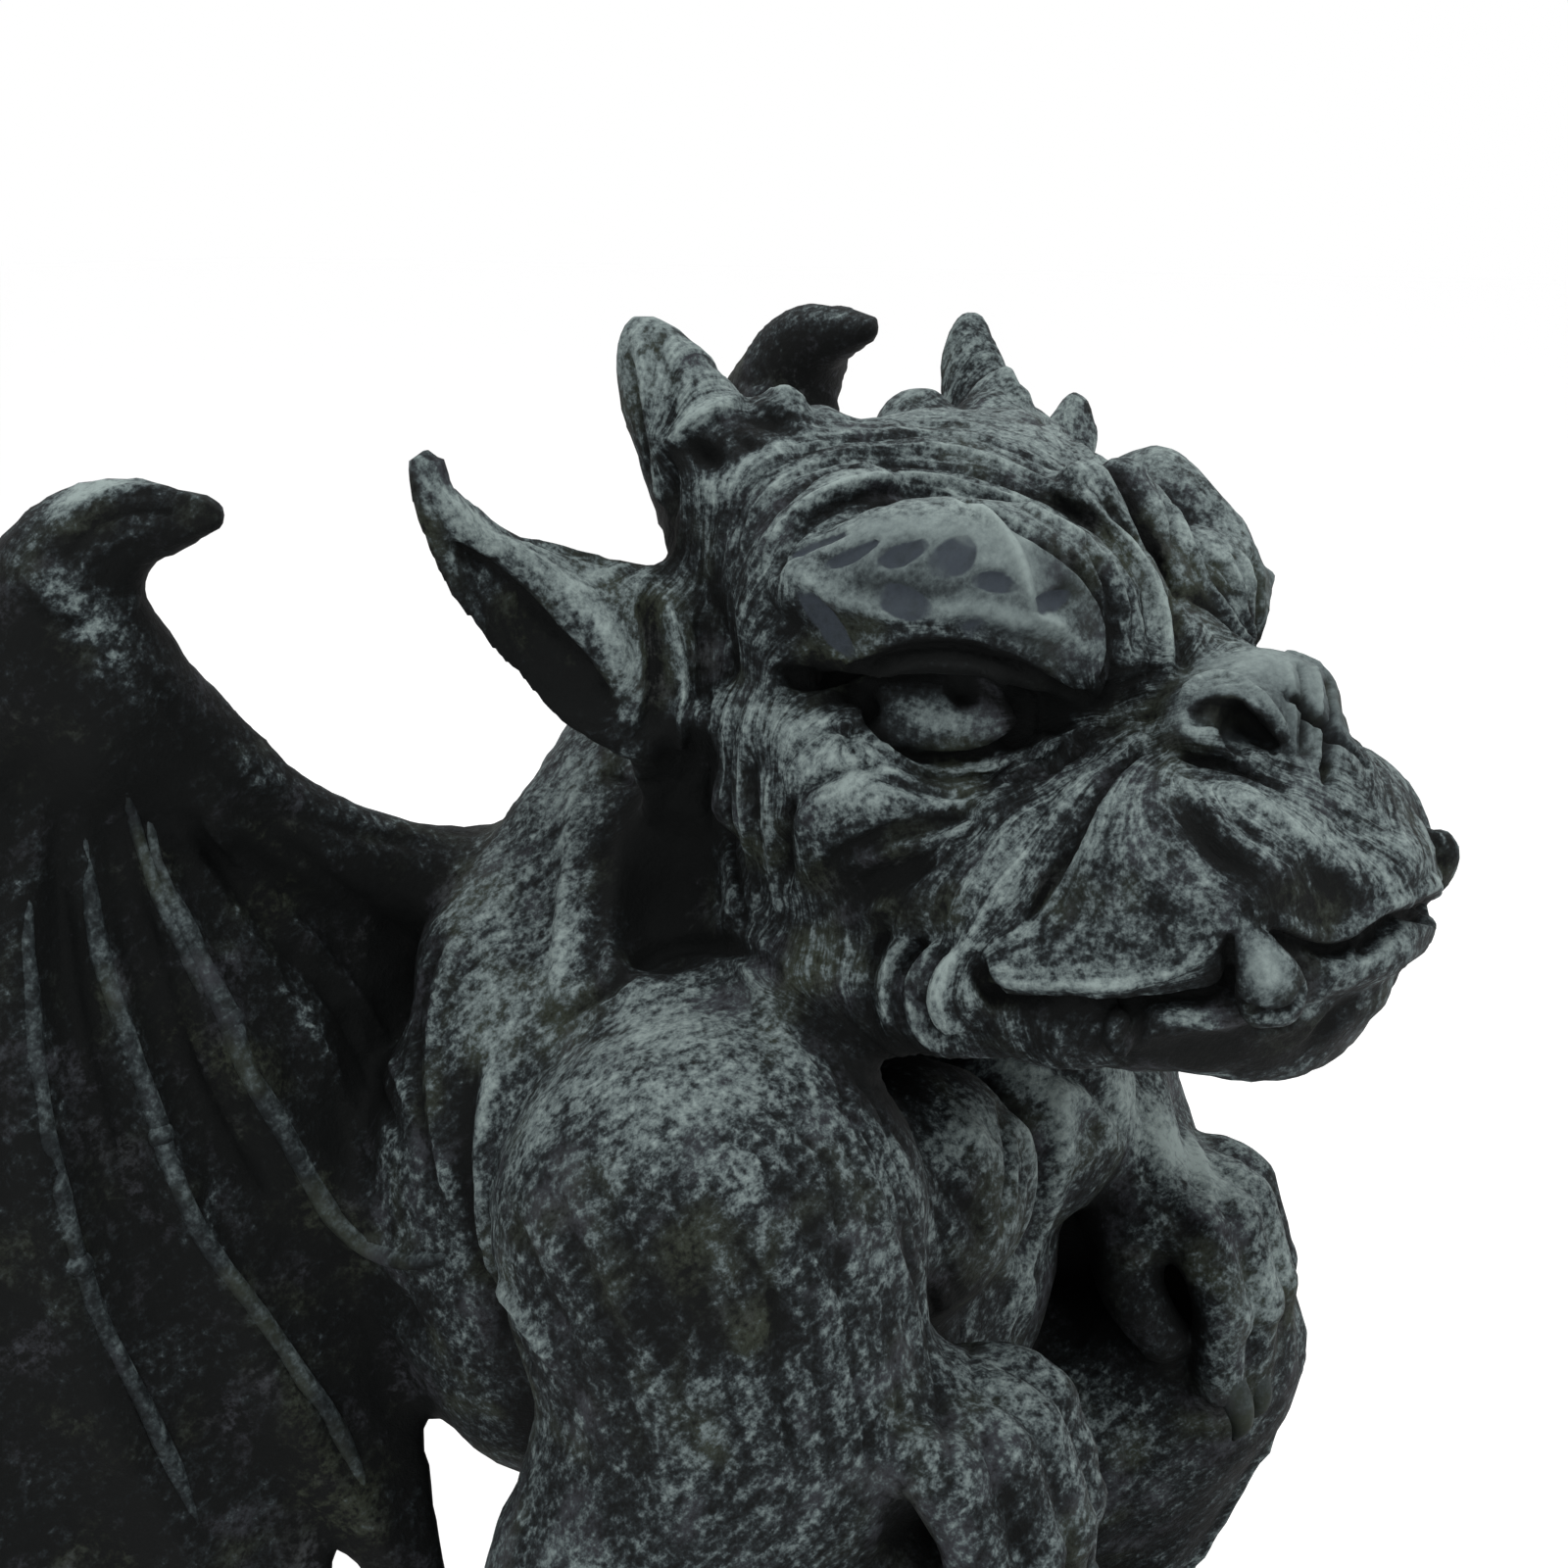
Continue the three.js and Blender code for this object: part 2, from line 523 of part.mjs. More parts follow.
function simplify({ vertices, faces }, target, weightAt) {
  const ring = vertices.map(() => []);
  faces.forEach((f, i) => f.forEach((v) => ring[v].push(i)));
  const quadric = vertices.map(() => new Float64Array(10));
  for (const f of faces) {
    const [a, b, c] = f.map((v) => vertices[v]);
    const m = facet(a, b, c);
    const size = length3(m);
    if (size < 1e-12) continue;
    const [x, y, z] = [m[0] / size, m[1] / size, m[2] / size];
    const d = -(x * a[0] + y * a[1] + z * a[2]);
    const w = (size / 2) * weightAt(a);
    const plane = [x * x, x * y, x * z, x * d, y * y, y * z, y * d, z * z, z * d, d * d];
    for (const v of f) {
      for (let i = 0; i < 10; i++) quadric[v][i] += plane[i] * w;
    }
  }
  const stamp = new Int32Array(vertices.length);
  const queue = new Queue();
  const sum = new Float64Array(10);
  const offer = (a, b) => {
    for (let i = 0; i < 10; i++) sum[i] = quadric[a][i] + quadric[b][i];
    const [p, r] = [vertices[a], vertices[b]];
    const middle = [(p[0] + r[0]) / 2, (p[1] + r[1]) / 2, (p[2] + r[2]) / 2];
    const span = distance3(p, r);
    const best = leastPoint(sum);
    const options = [middle, p, r];
    if (best && distance3(best, middle) < span) options.push(best);
    let [spot, cost] = [middle, Infinity];
    for (const o of options) {
      const c = price(sum, o);
      if (c < cost) [spot, cost] = [o, c];
    }
    const weight = weightAt(middle);
    queue.push({ a, b, spot, cost: Math.max(cost, 0) + EDGE_PENALTY * weight * span * span,
      stampA: stamp[a], stampB: stamp[b], tries: 0 });
  };
  const neighbours = (v) => {
    const out = [];
    for (const f of ring[v]) {
      for (const w of faces[f]) if (w !== v && !out.includes(w)) out.push(w);
    }
    return out;
  };
  // True if moving v to the spot turns a facet over or draws it out into a sliver
  const spoils = (v, spot, shared) => ring[v].some((f) => {
    if (shared.includes(f)) return false;
    const was = facet(...faces[f].map((w) => vertices[w]));
    const corners = faces[f].map((w) => (w === v ? spot : vertices[w]));
    const now = facet(...corners);
    const [before, after] = [length3(was), length3(now)];
    const dot = was[0] * now[0] + was[1] * now[1] + was[2] * now[2];
    const [a, b, c] = corners;
    const longest = Math.max(distance3(a, b), distance3(b, c), distance3(c, a));
    const turned = before > 0.05 ? dot < 0.55 * before * after : dot < 0;
    return turned || after < 0.08 * longest * longest && after < before;
  });
  vertices.forEach((_, v) => neighbours(v).forEach((w) => { if (w > v) offer(v, w); }));
  let left = faces.length;
  while (left > target && queue.heap.length) {
    const next = queue.pop();
    const { a, b, spot } = next;
    if (!ring[a] || !ring[b] || stamp[a] !== next.stampA || stamp[b] !== next.stampB) continue;
    const shared = ring[a].filter((f) => ring[b].includes(f));
    const around = neighbours(b);
    const common = neighbours(a).filter((v) => around.includes(v));
    if (shared.length !== 2 || common.length !== 2) continue;
    if (spoils(a, spot, shared) || spoils(b, spot, shared)) {
      next.tries++;
      next.cost = next.cost * 2 + 1e-3;
      if (next.tries < 14) queue.push(next);
      continue;
    }
    vertices[a] = spot;
    for (const f of shared) {
      for (const v of faces[f]) ring[v] = ring[v].filter((g) => g !== f);
      faces[f] = null;
    }
    left -= 2;
    for (const f of ring[b]) {
      faces[f] = faces[f].map((v) => (v === b ? a : v));
      ring[a].push(f);
    }
    ring[b] = null;
    for (let i = 0; i < 10; i++) quadric[a][i] += quadric[b][i];
    stamp[a]++;
    neighbours(a).forEach((w) => offer(a, w));
  }
  const index = new Map();
  const positions = [];
  const indices = [];
  for (const f of faces) {
    if (!f) continue;
    for (const v of f) {
      if (!index.has(v)) {
        index.set(v, index.size);
        positions.push(...vertices[v]);
      }
      indices.push(index.get(v));
    }
  }
  return { positions, indices };
}

const onHead = ([x, y, z]) => (Math.hypot(x, y + 18, z - 158) < 46 ? HEAD_WEIGHT : 1);
const raw = skin();
const figure = simplify(raw, FIGURE_TRIANGLES, onHead);

// Plinth: two courses of rough rock with an uneven outline
function course(grow, from, to, bevel) {
  const shape = new THREE.Shape();
  const sides = 28;
  for (let i = 0; i < sides; i++) {
    const a = (i / sides) * Math.PI * 2;
    const rough = 1 + 0.02 * Math.sin(3 * a + 1) + 0.02 * Math.sin(7 * a + 2);
    const square = 1 / Math.max(Math.abs(Math.cos(a)), Math.abs(Math.sin(a))) ** 0.7;
    const x = (PLINTH_HALF_WIDTH + grow - bevel) * Math.cos(a) * rough * square;
    const y = (PLINTH_HALF_DEPTH + grow - bevel) * Math.sin(a) * rough * square;
    if (i) shape.lineTo(x, y);
    else shape.moveTo(x, y);
  }
  shape.closePath();
  const slab = new THREE.ExtrudeGeometry(shape, {
    depth: to - from - bevel, bevelEnabled: true, bevelSegments: 2,
    bevelThickness: bevel, bevelSize: bevel, bevelOffset: 0, steps: 1,
  });
  slab.translate(0, 0, from);
  return slab;
}

function toManifold(positions, indices) {
  return new wasm.Manifold(new wasm.Mesh({
    numProp: 3,
    vertProperties: Float32Array.from(positions),
    triVerts: Uint32Array.from(indices),
  }));
}

function weld(geometry) {
  const p = geometry.attributes.position;
  const seen = new Map();
  const positions = [];
  const indices = [];
  for (let i = 0; i < p.count; i++) {
    const at = [p.getX(i), p.getY(i), p.getZ(i)];
    const key = at.map((v) => v.toFixed(4)).join(' ');
    if (!seen.has(key)) {
      seen.set(key, seen.size);
      positions.push(...at);
    }
    indices.push(seen.get(key));
  }
  const order = geometry.index ? [...geometry.index.array].map((i) => indices[i]) : indices;
  const kept = [];
  for (let i = 0; i < order.length; i += 3) {
    const [a, b, c] = order.slice(i, i + 3);
    if (a !== b && b !== c && a !== c) kept.push(a, b, c);
  }
  return toManifold(positions, kept);
}

const bottomCut = new THREE.BoxGeometry(400, 400, 100);
bottomCut.translate(0, 0, -50);
const lower = weld(course(PLINTH_STEP, -2, PLINTH_LOWER_COURSE, 2));
const upper = weld(course(0, 1, PLINTH_HEIGHT, 2));
const base = lower.add(upper).subtract(weld(bottomCut)).getMesh();

function named(name, positions, indices, colour) {
  const geometry = new THREE.BufferGeometry();
  geometry.setAttribute('position', new THREE.Float32BufferAttribute(positions, 3));
  geometry.setIndex([...indices]);
  geometry.computeVertexNormals();
  const material = new THREE.MeshStandardMaterial({ color: colour, roughness: 0.78, metalness: 0 });
  const mesh = new THREE.Mesh(geometry, material);
  mesh.name = name;
  return mesh;
}

const group = new THREE.Group();
group.name = 'wingedGargoyle';
group.add(named('gargoyle', figure.positions, figure.indices, '#4a5252'));
group.add(named('plinth', [...base.vertProperties], base.triVerts, '#3c4242'));

export default group;
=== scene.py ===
import bpy, math
import numpy as np
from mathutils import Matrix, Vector


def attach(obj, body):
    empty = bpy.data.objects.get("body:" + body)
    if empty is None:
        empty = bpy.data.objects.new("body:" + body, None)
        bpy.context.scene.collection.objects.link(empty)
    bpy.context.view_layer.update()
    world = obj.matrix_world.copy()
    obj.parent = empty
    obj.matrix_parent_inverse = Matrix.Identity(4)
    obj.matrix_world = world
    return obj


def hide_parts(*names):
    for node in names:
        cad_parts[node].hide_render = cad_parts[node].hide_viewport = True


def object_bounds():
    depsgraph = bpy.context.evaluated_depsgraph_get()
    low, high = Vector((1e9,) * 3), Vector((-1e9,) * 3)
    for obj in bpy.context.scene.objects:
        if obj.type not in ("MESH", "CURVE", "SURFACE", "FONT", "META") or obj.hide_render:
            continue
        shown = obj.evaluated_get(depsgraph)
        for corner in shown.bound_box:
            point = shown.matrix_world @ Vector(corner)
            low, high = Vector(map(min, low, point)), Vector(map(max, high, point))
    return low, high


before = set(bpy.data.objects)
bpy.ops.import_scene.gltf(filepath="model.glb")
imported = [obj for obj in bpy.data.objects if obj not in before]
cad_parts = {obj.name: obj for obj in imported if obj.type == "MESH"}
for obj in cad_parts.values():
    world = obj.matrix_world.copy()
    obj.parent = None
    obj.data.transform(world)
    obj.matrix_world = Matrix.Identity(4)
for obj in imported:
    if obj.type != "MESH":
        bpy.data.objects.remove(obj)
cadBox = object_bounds()
mm = 0.001

# The eye of the photograph: every decal below is drawn on a sheet held up to it, in tens of photo pixels
sight = {"azimuth": -58.0, "elevation": 14.0, "distance": 245.0, "target": (0.0, 15.6, 144.7), "lens": 54.0}
sheetUnit = 10.0
sheetFocal = sight["lens"] / 36 * 1600 / sheetUnit
sheetMiddle = 800 / sheetUnit


def sightAxes():
    a, e = math.radians(sight["azimuth"]), math.radians(sight["elevation"])
    back = np.array([math.sin(a) * math.cos(e), -math.cos(a) * math.cos(e), math.sin(e)])
    right = np.array([math.cos(a), math.sin(a), 0.0])
    return right, np.cross(back, right), back


sightRight, sightUp, sightBack = sightAxes()
sightPlace = np.array(sight["target"]) + sightBack * sight["distance"]


# Clay: a distance field in millimetres on a lattice that is finest round the head
def gradedAxis(low, high, fineLow, fineHigh, fine, coarse, growth=1.05):
    out = list(np.arange(fineLow, fineHigh, fine))
    for edge, way in ((low, -1), (high, 1)):
        at, step = (out[0] if way < 0 else out[-1]), fine
        while (at - edge) * way < 0:
            step = min(step * growth, coarse)
            at += way * step
            out.append(at)
        out.sort()
    return np.array(out, np.float32)


sculpt = {"fine": 0.36, "coarse": 0.95, "headSet": (0.0, -12.0, 160.0),
          "headYaw": -7.6, "headRoll": 1.0, "sole": 14.3, "triangles": 186000}
axes = [gradedAxis(-88, 88, -31, 31, sculpt["fine"], sculpt["coarse"]),
        gradedAxis(-58, 84, -56, 14, sculpt["fine"], sculpt["coarse"]),
        gradedAxis(9, 198, 124, 188, sculpt["fine"], sculpt["coarse"])]


def turnRows(yaw, pitch, roll):
    y, p, r = (math.radians(v) for v in (yaw, pitch, roll))
    aboutZ = np.array([[math.cos(y), -math.sin(y), 0], [math.sin(y), math.cos(y), 0], [0, 0, 1]])
    aboutX = np.array([[1, 0, 0], [0, math.cos(p), -math.sin(p)], [0, math.sin(p), math.cos(p)]])
    aboutY = np.array([[math.cos(r), 0, math.sin(r)], [0, 1, 0], [-math.sin(r), 0, math.cos(r)]])
    return (aboutZ @ aboutX @ aboutY).T


def smoothMin(a, b, k):
    h = np.maximum(k - np.abs(a - b), 0)
    return np.minimum(a, b) - h * h * (0.25 / k)


def smoothRows(rows, steps):
    rows = np.asarray(rows, float)
    if len(rows) < 3:
        return rows
    ends = np.concatenate([[2 * rows[0] - rows[1]], rows, [2 * rows[-1] - rows[-2]]])
    out = []
    for a, b, c, d in zip(ends[:-3], ends[1:-2], ends[2:-1], ends[3:]):
        for j in range(steps):
            t = j / steps
            out.append(0.5 * (2 * b + (c - a) * t + (2 * a - 5 * b + 4 * c - d) * t * t + (3 * b - a - 3 * c + d) * t ** 3))
    return np.array(out + [rows[-1]])


class Frame:
    # Lumps are laid in a turned frame; folded ones appear on both sides of its middle plane
    def __init__(self, field, origin=(0, 0, 0), rows=np.eye(3), folded=True):
        self.field, self.origin, self.rows, self.folded = field, np.array(origin, float), rows, folded

    def lay(self, low, high, reach, blend, cut, distance):
        low, high = np.asarray(low, float) - reach, np.asarray(high, float) + reach
        sides = [0]
        if self.folded:
            sides = [1, -1] if low[0] > 5 else [0]
            if sides == [0]:
                low[0], high[0] = -high[0], high[0]
        for side in sides:
            corners = np.array([[(low, high)[i][0], (low, high)[j][1], (low, high)[k][2]]
                                for i in (0, 1) for j in (0, 1) for k in (0, 1)])
            if side:
                corners[:, 0] *= side
            world = self.origin + corners @ self.rows
            cut3 = [slice(np.searchsorted(a, world[:, i].min()), np.searchsorted(a, world[:, i].max()))
                    for i, a in enumerate(axes)]
            if any(s.stop <= s.start for s in cut3):
                continue
            x, y, z = np.meshgrid(*[(axes[i][s] - self.origin[i]).astype(np.float32) for i, s in enumerate(cut3)],
                                  indexing="ij", sparse=True)
            u, v, w = (r[0] * x + r[1] * y + r[2] * z for r in self.rows.astype(np.float32))
            u, v, w = np.broadcast_arrays(u, v, w)
            d = distance(np.abs(u) if self.folded else u, v, w)
            block = self.field[tuple(cut3)]
            made = -smoothMin(-block, d, blend) if cut else smoothMin(block, d, blend)
            self.field[tuple(cut3)] = np.where(u * side > 0, made, block) if side else made

    def ball(self, centre, radii, turn=(0, 0, 0), k=3.0, cut=False):
        radii = np.ones(3) * radii
        m = turnRows(*turn)
        a, b, c = radii

        def distance(x, y, z):
            x, y, z = x - centre[0], y - centre[1], z - centre[2]
            p, q, r = (w[0] * x + w[1] * y + w[2] * z for w in m)
            s = np.sqrt((p / a) ** 2 + (q / b) ** 2 + (r / c) ** 2)
            g = np.sqrt((p / a ** 2) ** 2 + (q / b ** 2) ** 2 + (r / c ** 2) ** 2) + 1e-6
            return np.where(s < 0.05, -radii.min(), s * (s - 1) / g).astype(np.float32)
        self.lay(centre, centre, radii.max() + 4 + k, k, cut, distance)

    def limb(self, rows, k=3.0, cut=False, flat=None, steps=4):
        curve = smoothRows(rows, steps)
        axis = np.array([0, 0, 1.0]) if flat is None else np.array(flat[0]) / np.linalg.norm(flat[0])
        extra = 0.0 if flat is None else flat[1] - 1
        at = curve[:, :3] + np.outer(curve[:, :3] @ axis * extra, axis)
        size = np.maximum(curve[:, 3], 0.25)

        def distance(x, y, z):
            if extra:
                s = (x * axis[0] + y * axis[1] + z * axis[2]) * extra
                x, y, z = x + axis[0] * s, y + axis[1] * s, z + axis[2] * s
            best = None
            for a, b, ra, rb in zip(at[:-1], at[1:], size[:-1], size[1:]):
                u = b - a
                px, py, pz = x - a[0], y - a[1], z - a[2]
                t = np.clip((px * u[0] + py * u[1] + pz * u[2]) / max(u @ u, 1e-9), 0, 1)
                d = np.sqrt((px - u[0] * t) ** 2 + (py - u[1] * t) ** 2 + (pz - u[2] * t) ** 2) - ra - (rb - ra) * t
                best = d if best is None else np.minimum(best, d)
            return (best / math.sqrt(1 + extra)).astype(np.float32)
        self.lay(curve[:, :3].min(0), curve[:, :3].max(0), curve[:, 3].max() + 4 + k, k, cut, distance)

    def sheet(self, net, thickness, steps=2):
        rows = np.array([smoothRows(row, steps) for row in net])
        grid = np.array([smoothRows(rows[:, i], steps) for i in range(rows.shape[1])])
        for i in range(grid.shape[0] - 1):
            for j in range(grid.shape[1] - 1):
                a, b, c, d = grid[i, j], grid[i + 1, j], grid[i + 1, j + 1], grid[i, j + 1]
                for tri in ((a, b, c), (a, c, d)):
                    if np.linalg.norm(np.cross(tri[1] - tri[0], tri[2] - tri[0])) > 1e-2:
                        self.triangle(np.array(tri), thickness)

    def triangle(self, tri, thickness):
        normal = np.cross(tri[1] - tri[0], tri[2] - tri[0])
        normal /= np.linalg.norm(normal)

        def distance(x, y, z):
            best, inside = None, True
            for a, b in ((0, 1), (1, 2), (2, 0)):
                u = tri[b] - tri[a]
                px, py, pz = x - tri[a][0], y - tri[a][1], z - tri[a][2]
                t = np.clip((px * u[0] + py * u[1] + pz * u[2]) / (u @ u), 0, 1)
                d = (px - u[0] * t) ** 2 + (py - u[1] * t) ** 2 + (pz - u[2] * t) ** 2
                best = d if best is None else np.minimum(best, d)
                side = np.cross(normal, u)
                inside = inside & (px * side[0] + py * side[1] + pz * side[2] >= 0)
            level = np.abs((x - tri[0][0]) * normal[0] + (y - tri[0][1]) * normal[1] + (z - tri[0][2]) * normal[2])
            return (np.where(inside, level, np.sqrt(best)) - thickness / 2).astype(np.float32)
        self.lay(tri.min(0), tri.max(0), thickness + 1.5, 0.6, False, distance)


shape = [len(a) for a in axes]
bodyField, headField, wingField = (np.full(shape, 9.0, np.float32) for _ in range(3))
headRows = turnRows(sculpt["headYaw"], 0, sculpt["headRoll"])
body = Frame(bodyField)
head = Frame(headField, sculpt["headSet"], headRows)
oneSideBody = Frame(bodyField, folded=False)
oneSideHead = Frame(headField, sculpt["headSet"], headRows, folded=False)
wings = Frame(wingField, folded=False)


def layArm(side, slip, masses):
    # The far arm is a little slimmer and drawn further back than the near one
    def at(x, y, z, *rest):
        return (side * (x + slip[0]), y + slip[1], z + slip[2], *rest)
    shoulder, upper, bulge, elbow, fore = (at(*m) for m in masses)
    oneSideBody.limb([shoulder, upper, elbow], k=3)
    oneSideBody.ball(bulge[:3], (bulge[3], bulge[3], bulge[3] * 1.12), k=4)
    oneSideBody.limb([elbow, fore, at(35, -13, 97, 8)], k=4)
    oneSideBody.ball(at(31, -19, 96), (9, 8, 6.5), k=3)
    for f in range(4):
        x, reach = 23 + f * 5.4, (0, 1.4, 1, -1)[f]
        oneSideBody.limb([at(x + 1, -16, 96, 3.4), at(x, -24.4 - reach, 97.6, 3.5), at(x - 0.4, -29 - reach, 91, 3.0),
                          at(x - 0.4, -29.5 - reach, 84, 2.7), at(x - 0.4, -30, 80, 2.2)], k=1)
        oneSideBody.ball(at(x - 0.1, -26.6 - reach, 96.6), 3.4, k=0.8)
        oneSideBody.ball(at(x - 0.4, -30 - reach, 88), 3.1, k=0.8)
    oneSideBody.limb([at(26, -15, 95, 4), at(20, -20, 90, 3.6), at(20.5, -23.6, 85, 2.8)], k=1.5)


def layBody():
    body.ball((0, 20, 42), (29, 22, 22), k=6)
    body.ball((0, 15, 68), (26, 24, 27))
    body.ball((0, 7, 94), (30, 20, 26))
    body.ball((13, -6, 109), (15, 12, 13))
    body.ball((0, 26, 116), (31, 20, 26))
    body.ball((30, 24, 106), (16, 20, 28), k=4)
    body.limb([(0, 18, 138, 24), (0, 6, 148, 20), (0, -4, 154, 17)], k=6)
    body.limb([(12, 24, 140, 13), (22, 16, 130, 13), (30, 8, 122, 12)], k=4)
    body.limb([(20, 30, 140, 6), (28, 31, 130, 8.5)], k=4)
    layArm(-1, (0, 0, 0), ((36, 1, 113, 20), (39, -2, 97, 17), (38, -9, 97, 12.5), (48, 3, 80, 12), (43, -5, 91, 11)))
    layArm(1, (-1.5, 2.5, -1.5), ((36.5, 1.5, 112.5, 17), (39.5, -1.5, 97.5, 14.5), (39, -7, 96, 10), (48, 2, 82, 11),
                                  (43, -5, 93, 10)))
    oneSideBody.limb([(29, -10, 106, 6.4), (24, -14, 100, 6.4), (22.5, -17, 96, 5.6)], k=3)
    knee = (33, -18, 74)
    body.limb([(17, 20, 44, 20), (26, 2, 60, 18), (*knee, 12.5)], k=6)
    body.limb([(*knee, 12), (35, -10, 54, 12), (34, -3, 34, 8.5), (33, 0, 26, 8)], k=4)
    body.limb([(33, 8, 21, 7.5), (34, -10, 21, 8), (35, -24, 19, 7.5)], k=4)
    for t in range(4):
        spread = (t - 1.5) * 0.3
        row = [(35 + (t - 1.5) * 4 + math.sin(spread) * r, -23 - math.cos(spread) * r, z, w)
               for r, z, w in ((0, 20, 4.6), (9, 20, 4.2), (16, 17.6, 3.4))]
        body.limb(row, k=1.5)
        body.ball(row[1][:3], 4.6, k=1)


def layHead():
    head.ball((0, 10, 3), (24, 23, 21))
    oneSideHead.limb([(-8, -10, 8, 6), (-15.5, -9.2, 10, 7.4), (-23, -3.4, 11.4, 6.8), (-27.8, 2.6, 11.4, 3.6)], k=3)
    oneSideHead.limb([(8, -10, 8, 6), (15, -10.8, 8.2, 5.9), (16.4, -4, 14.2, 5.6), (23, 1.5, 14.6, 4.4)], k=3)
    oneSideHead.limb([(-26.4, 9, 3.6, 3.6), (-27.2, 8.6, 8.6, 3.8), (-26.4, 8, 12.8, 3.5), (-24, 7, 15.6, 3.2),
                      (-19, 5.4, 17.6, 2.8)], k=3)
    oneSideHead.limb([(-24.4, 13, 4.5, 3), (-25.5, 13, 9, 3.2), (-25, 11.9, 12.6, 3.2), (-23, 10.8, 15.4, 3),
                      (-18.6, 9.3, 17, 2.6)], k=2)
    oneSideHead.limb([(-25.4, 5, 6, 3.4), (-26, -0.6, 6, 3.2), (-25, -6, 5.8, 2.8), (-21.6, -10.2, 4.8, 2.2)], k=2)
    head.ball((11, -11.5, 6), 6.5, k=2)
    head.limb([(3.2, -8, 18, 2.6), (3.4, -13, 10, 2.8), (3, -16.5, 3, 2.6)], k=2)
    head.limb([(0, -10, -4, 13.6), (0, -19, -6.5, 10.4), (0, -25, -7, 8.8)], k=4)
    head.limb([(10, -13, -8, 5), (19, -8, -10, 6), (26, 2, -9, 6), (28, 12, -8, 5)], k=3)
    head.ball((19, 4, -15), (10.5, 13, 16), k=4)
    head.ball((0, -20, -12), (22, 18.2, 10), k=4)
    head.ball((20, -9, -16), (8, 11, 9), k=4)
    oneSideHead.ball((-12, -25, -13), (12, 12.5, 9), k=3)
    oneSideHead.ball((11.5, -24.2, -14.6), (10.8, 11.6, 7.6), k=3)
    head.limb([(0, -38, -13.5, 3.4), (6, -36.5, -15, 3.6), (16, -30, -17.5, 4), (21.5, -22, -20, 4.2),
               (24, -14, -21, 3.4)], k=3)
    head.ball((22, -9, -1), (10, 6.5, 5.2), turn=(46, 0, 0), k=1.2, cut=True)
    head.limb([(27.5, -3, -7.5, 3.2), (26.5, 2, -4.8, 5), (27, 9, -3.6, 5.6), (28, 15, -5, 4.6)], k=2)
    head.ball((16.5, -2, -1), (9, 9, 7.5), k=0.5)
    head.limb([(27, 0.5, -1, 1.2), (22.5, -6, -5.6, 1.4), (15, -12, -3.6, 1.2)], k=1)
    head.limb([(4, -15, 5, 2.6), (10, -15, 3.4, 2.8), (17.5, -12.4, 4.6, 2.6), (25, -5, 7.6, 2.4),
               (30, 4.5, 10.4, 2)], k=1.5)
    head.ball((0, -24.6, -1.2), (9.5, 6.8, 5.8), k=2)
    oneSideHead.ball((-7.5, -25, -1.5), (5, 6, 4.6), k=1.5)
    oneSideHead.ball((7.2, -24, -1.4), (4.8, 5.7, 4.3), k=1.5)
    head.ball((9.4, -29, -1), (2.2, 2.8, 1.8), k=1, cut=True)
    head.ball((0, -10, -26), (20, 21, 6.2), k=4)
    head.limb([(25, 6, -26, 7), (23, -8, -26.4, 5), (16, -21.5, -26.2, 4.4), (6.5, -29.5, -28, 5), (0, -31, -28, 5.4)], k=3)
    head.limb([(24, -15, -26.4, 1.8), (21, -24, -25.4, 2), (15.5, -32, -22.8, 2.2), (8, -37, -20.8, 2.6),
               (0, -38.6, -19.8, 3)], k=2.5)
    head.limb([(0, -44, -17, 0.9), (7, -42, -18, 0.9), (18.5, -33.5, -21, 0.9), (24, -24.5, -23.8, 1),
               (28.5, -15, -24.6, 1.1)], k=0.8, cut=True)
    head.ball((26, -11, -23.2), (3, 4.2, 4), k=0.8)
    head.limb([(20, -18, -26.5, 4), (13, -27.5, -25.6, 4.4), (6, -32.5, -24.8, 4.6), (0, -34, -24.4, 4.8)], k=2)
    oneSideHead.limb([(-16.8, -36.2, -21.6, 2.5), (-17.2, -37, -20.4, 3), (-18.2, -36.4, -18, 2.2), (-19, -34.6, -15, 0.9)],
                     k=0.4)
    oneSideHead.limb([(13, -35.4, -19, 1.5), (14.4, -36.6, -17, 1.8), (14.2, -37.2, -14.8, 1.7), (12.6, -37, -13, 1.1)],
                     k=0.4)
    oneSideHead.ball((-22.9, -25.8, -25.2), (1.2, 1.2, 2.2), k=0.4)
    head.limb([(27, 19, 0.6, 10), (33, 22.5, 2.8, 8.4), (39, 25.5, 6.8, 6.2), (45, 27.6, 11.4, 4),
               (49.2, 28.2, 16.6, 2.5), (51.2, 28.2, 20.6, 1.5)], k=2.5, flat=((0.42, -0.88, 0.2), 2.4))
    head.limb([(28.5, 20, -8, 4), (28.5, 19, -14, 3.6), (27, 14, -20, 3)], k=2)
    for side, girth in ((-1, 1), (1, 0.76)):
        oneSideHead.limb([(side * x, y, z, r * girth) for x, y, z, r in
                          ((20, 17.8, 13, 7.8), (22.6, 21.2, 20, 6.2), (24.2, 24, 25.6, 4.9), (25.2, 25.6, 29, 3.5),
                           (25.7, 26.1, 30.8, 2.3))])
    head.limb([(21, 17, 16.5, 6.6), (16, 14, 17, 6.4), (11, 11, 17.4, 6)], k=3)
    for x, y, z, r in ((18, 16.4, 22.8, 3.6), (13.4, 15, 21.8, 3), (22.4, 13.4, 18.4, 2.8), (24.6, 16.2, 17.4, 2.8),
                       (22.2, 19.6, 21.6, 2.8)):
        head.ball((x, y, z), r, k=1.6)
    # On the far side a knob in front of the horn, and a stouter tip of the ear
    oneSideHead.ball((6.5, 18.5, 21.4), 4, k=2.5)
    oneSideHead.limb([(44, 27, 10.6, 4.6), (48.8, 28, 16, 3.6), (51, 28.2, 20, 2.2)], k=1.5)


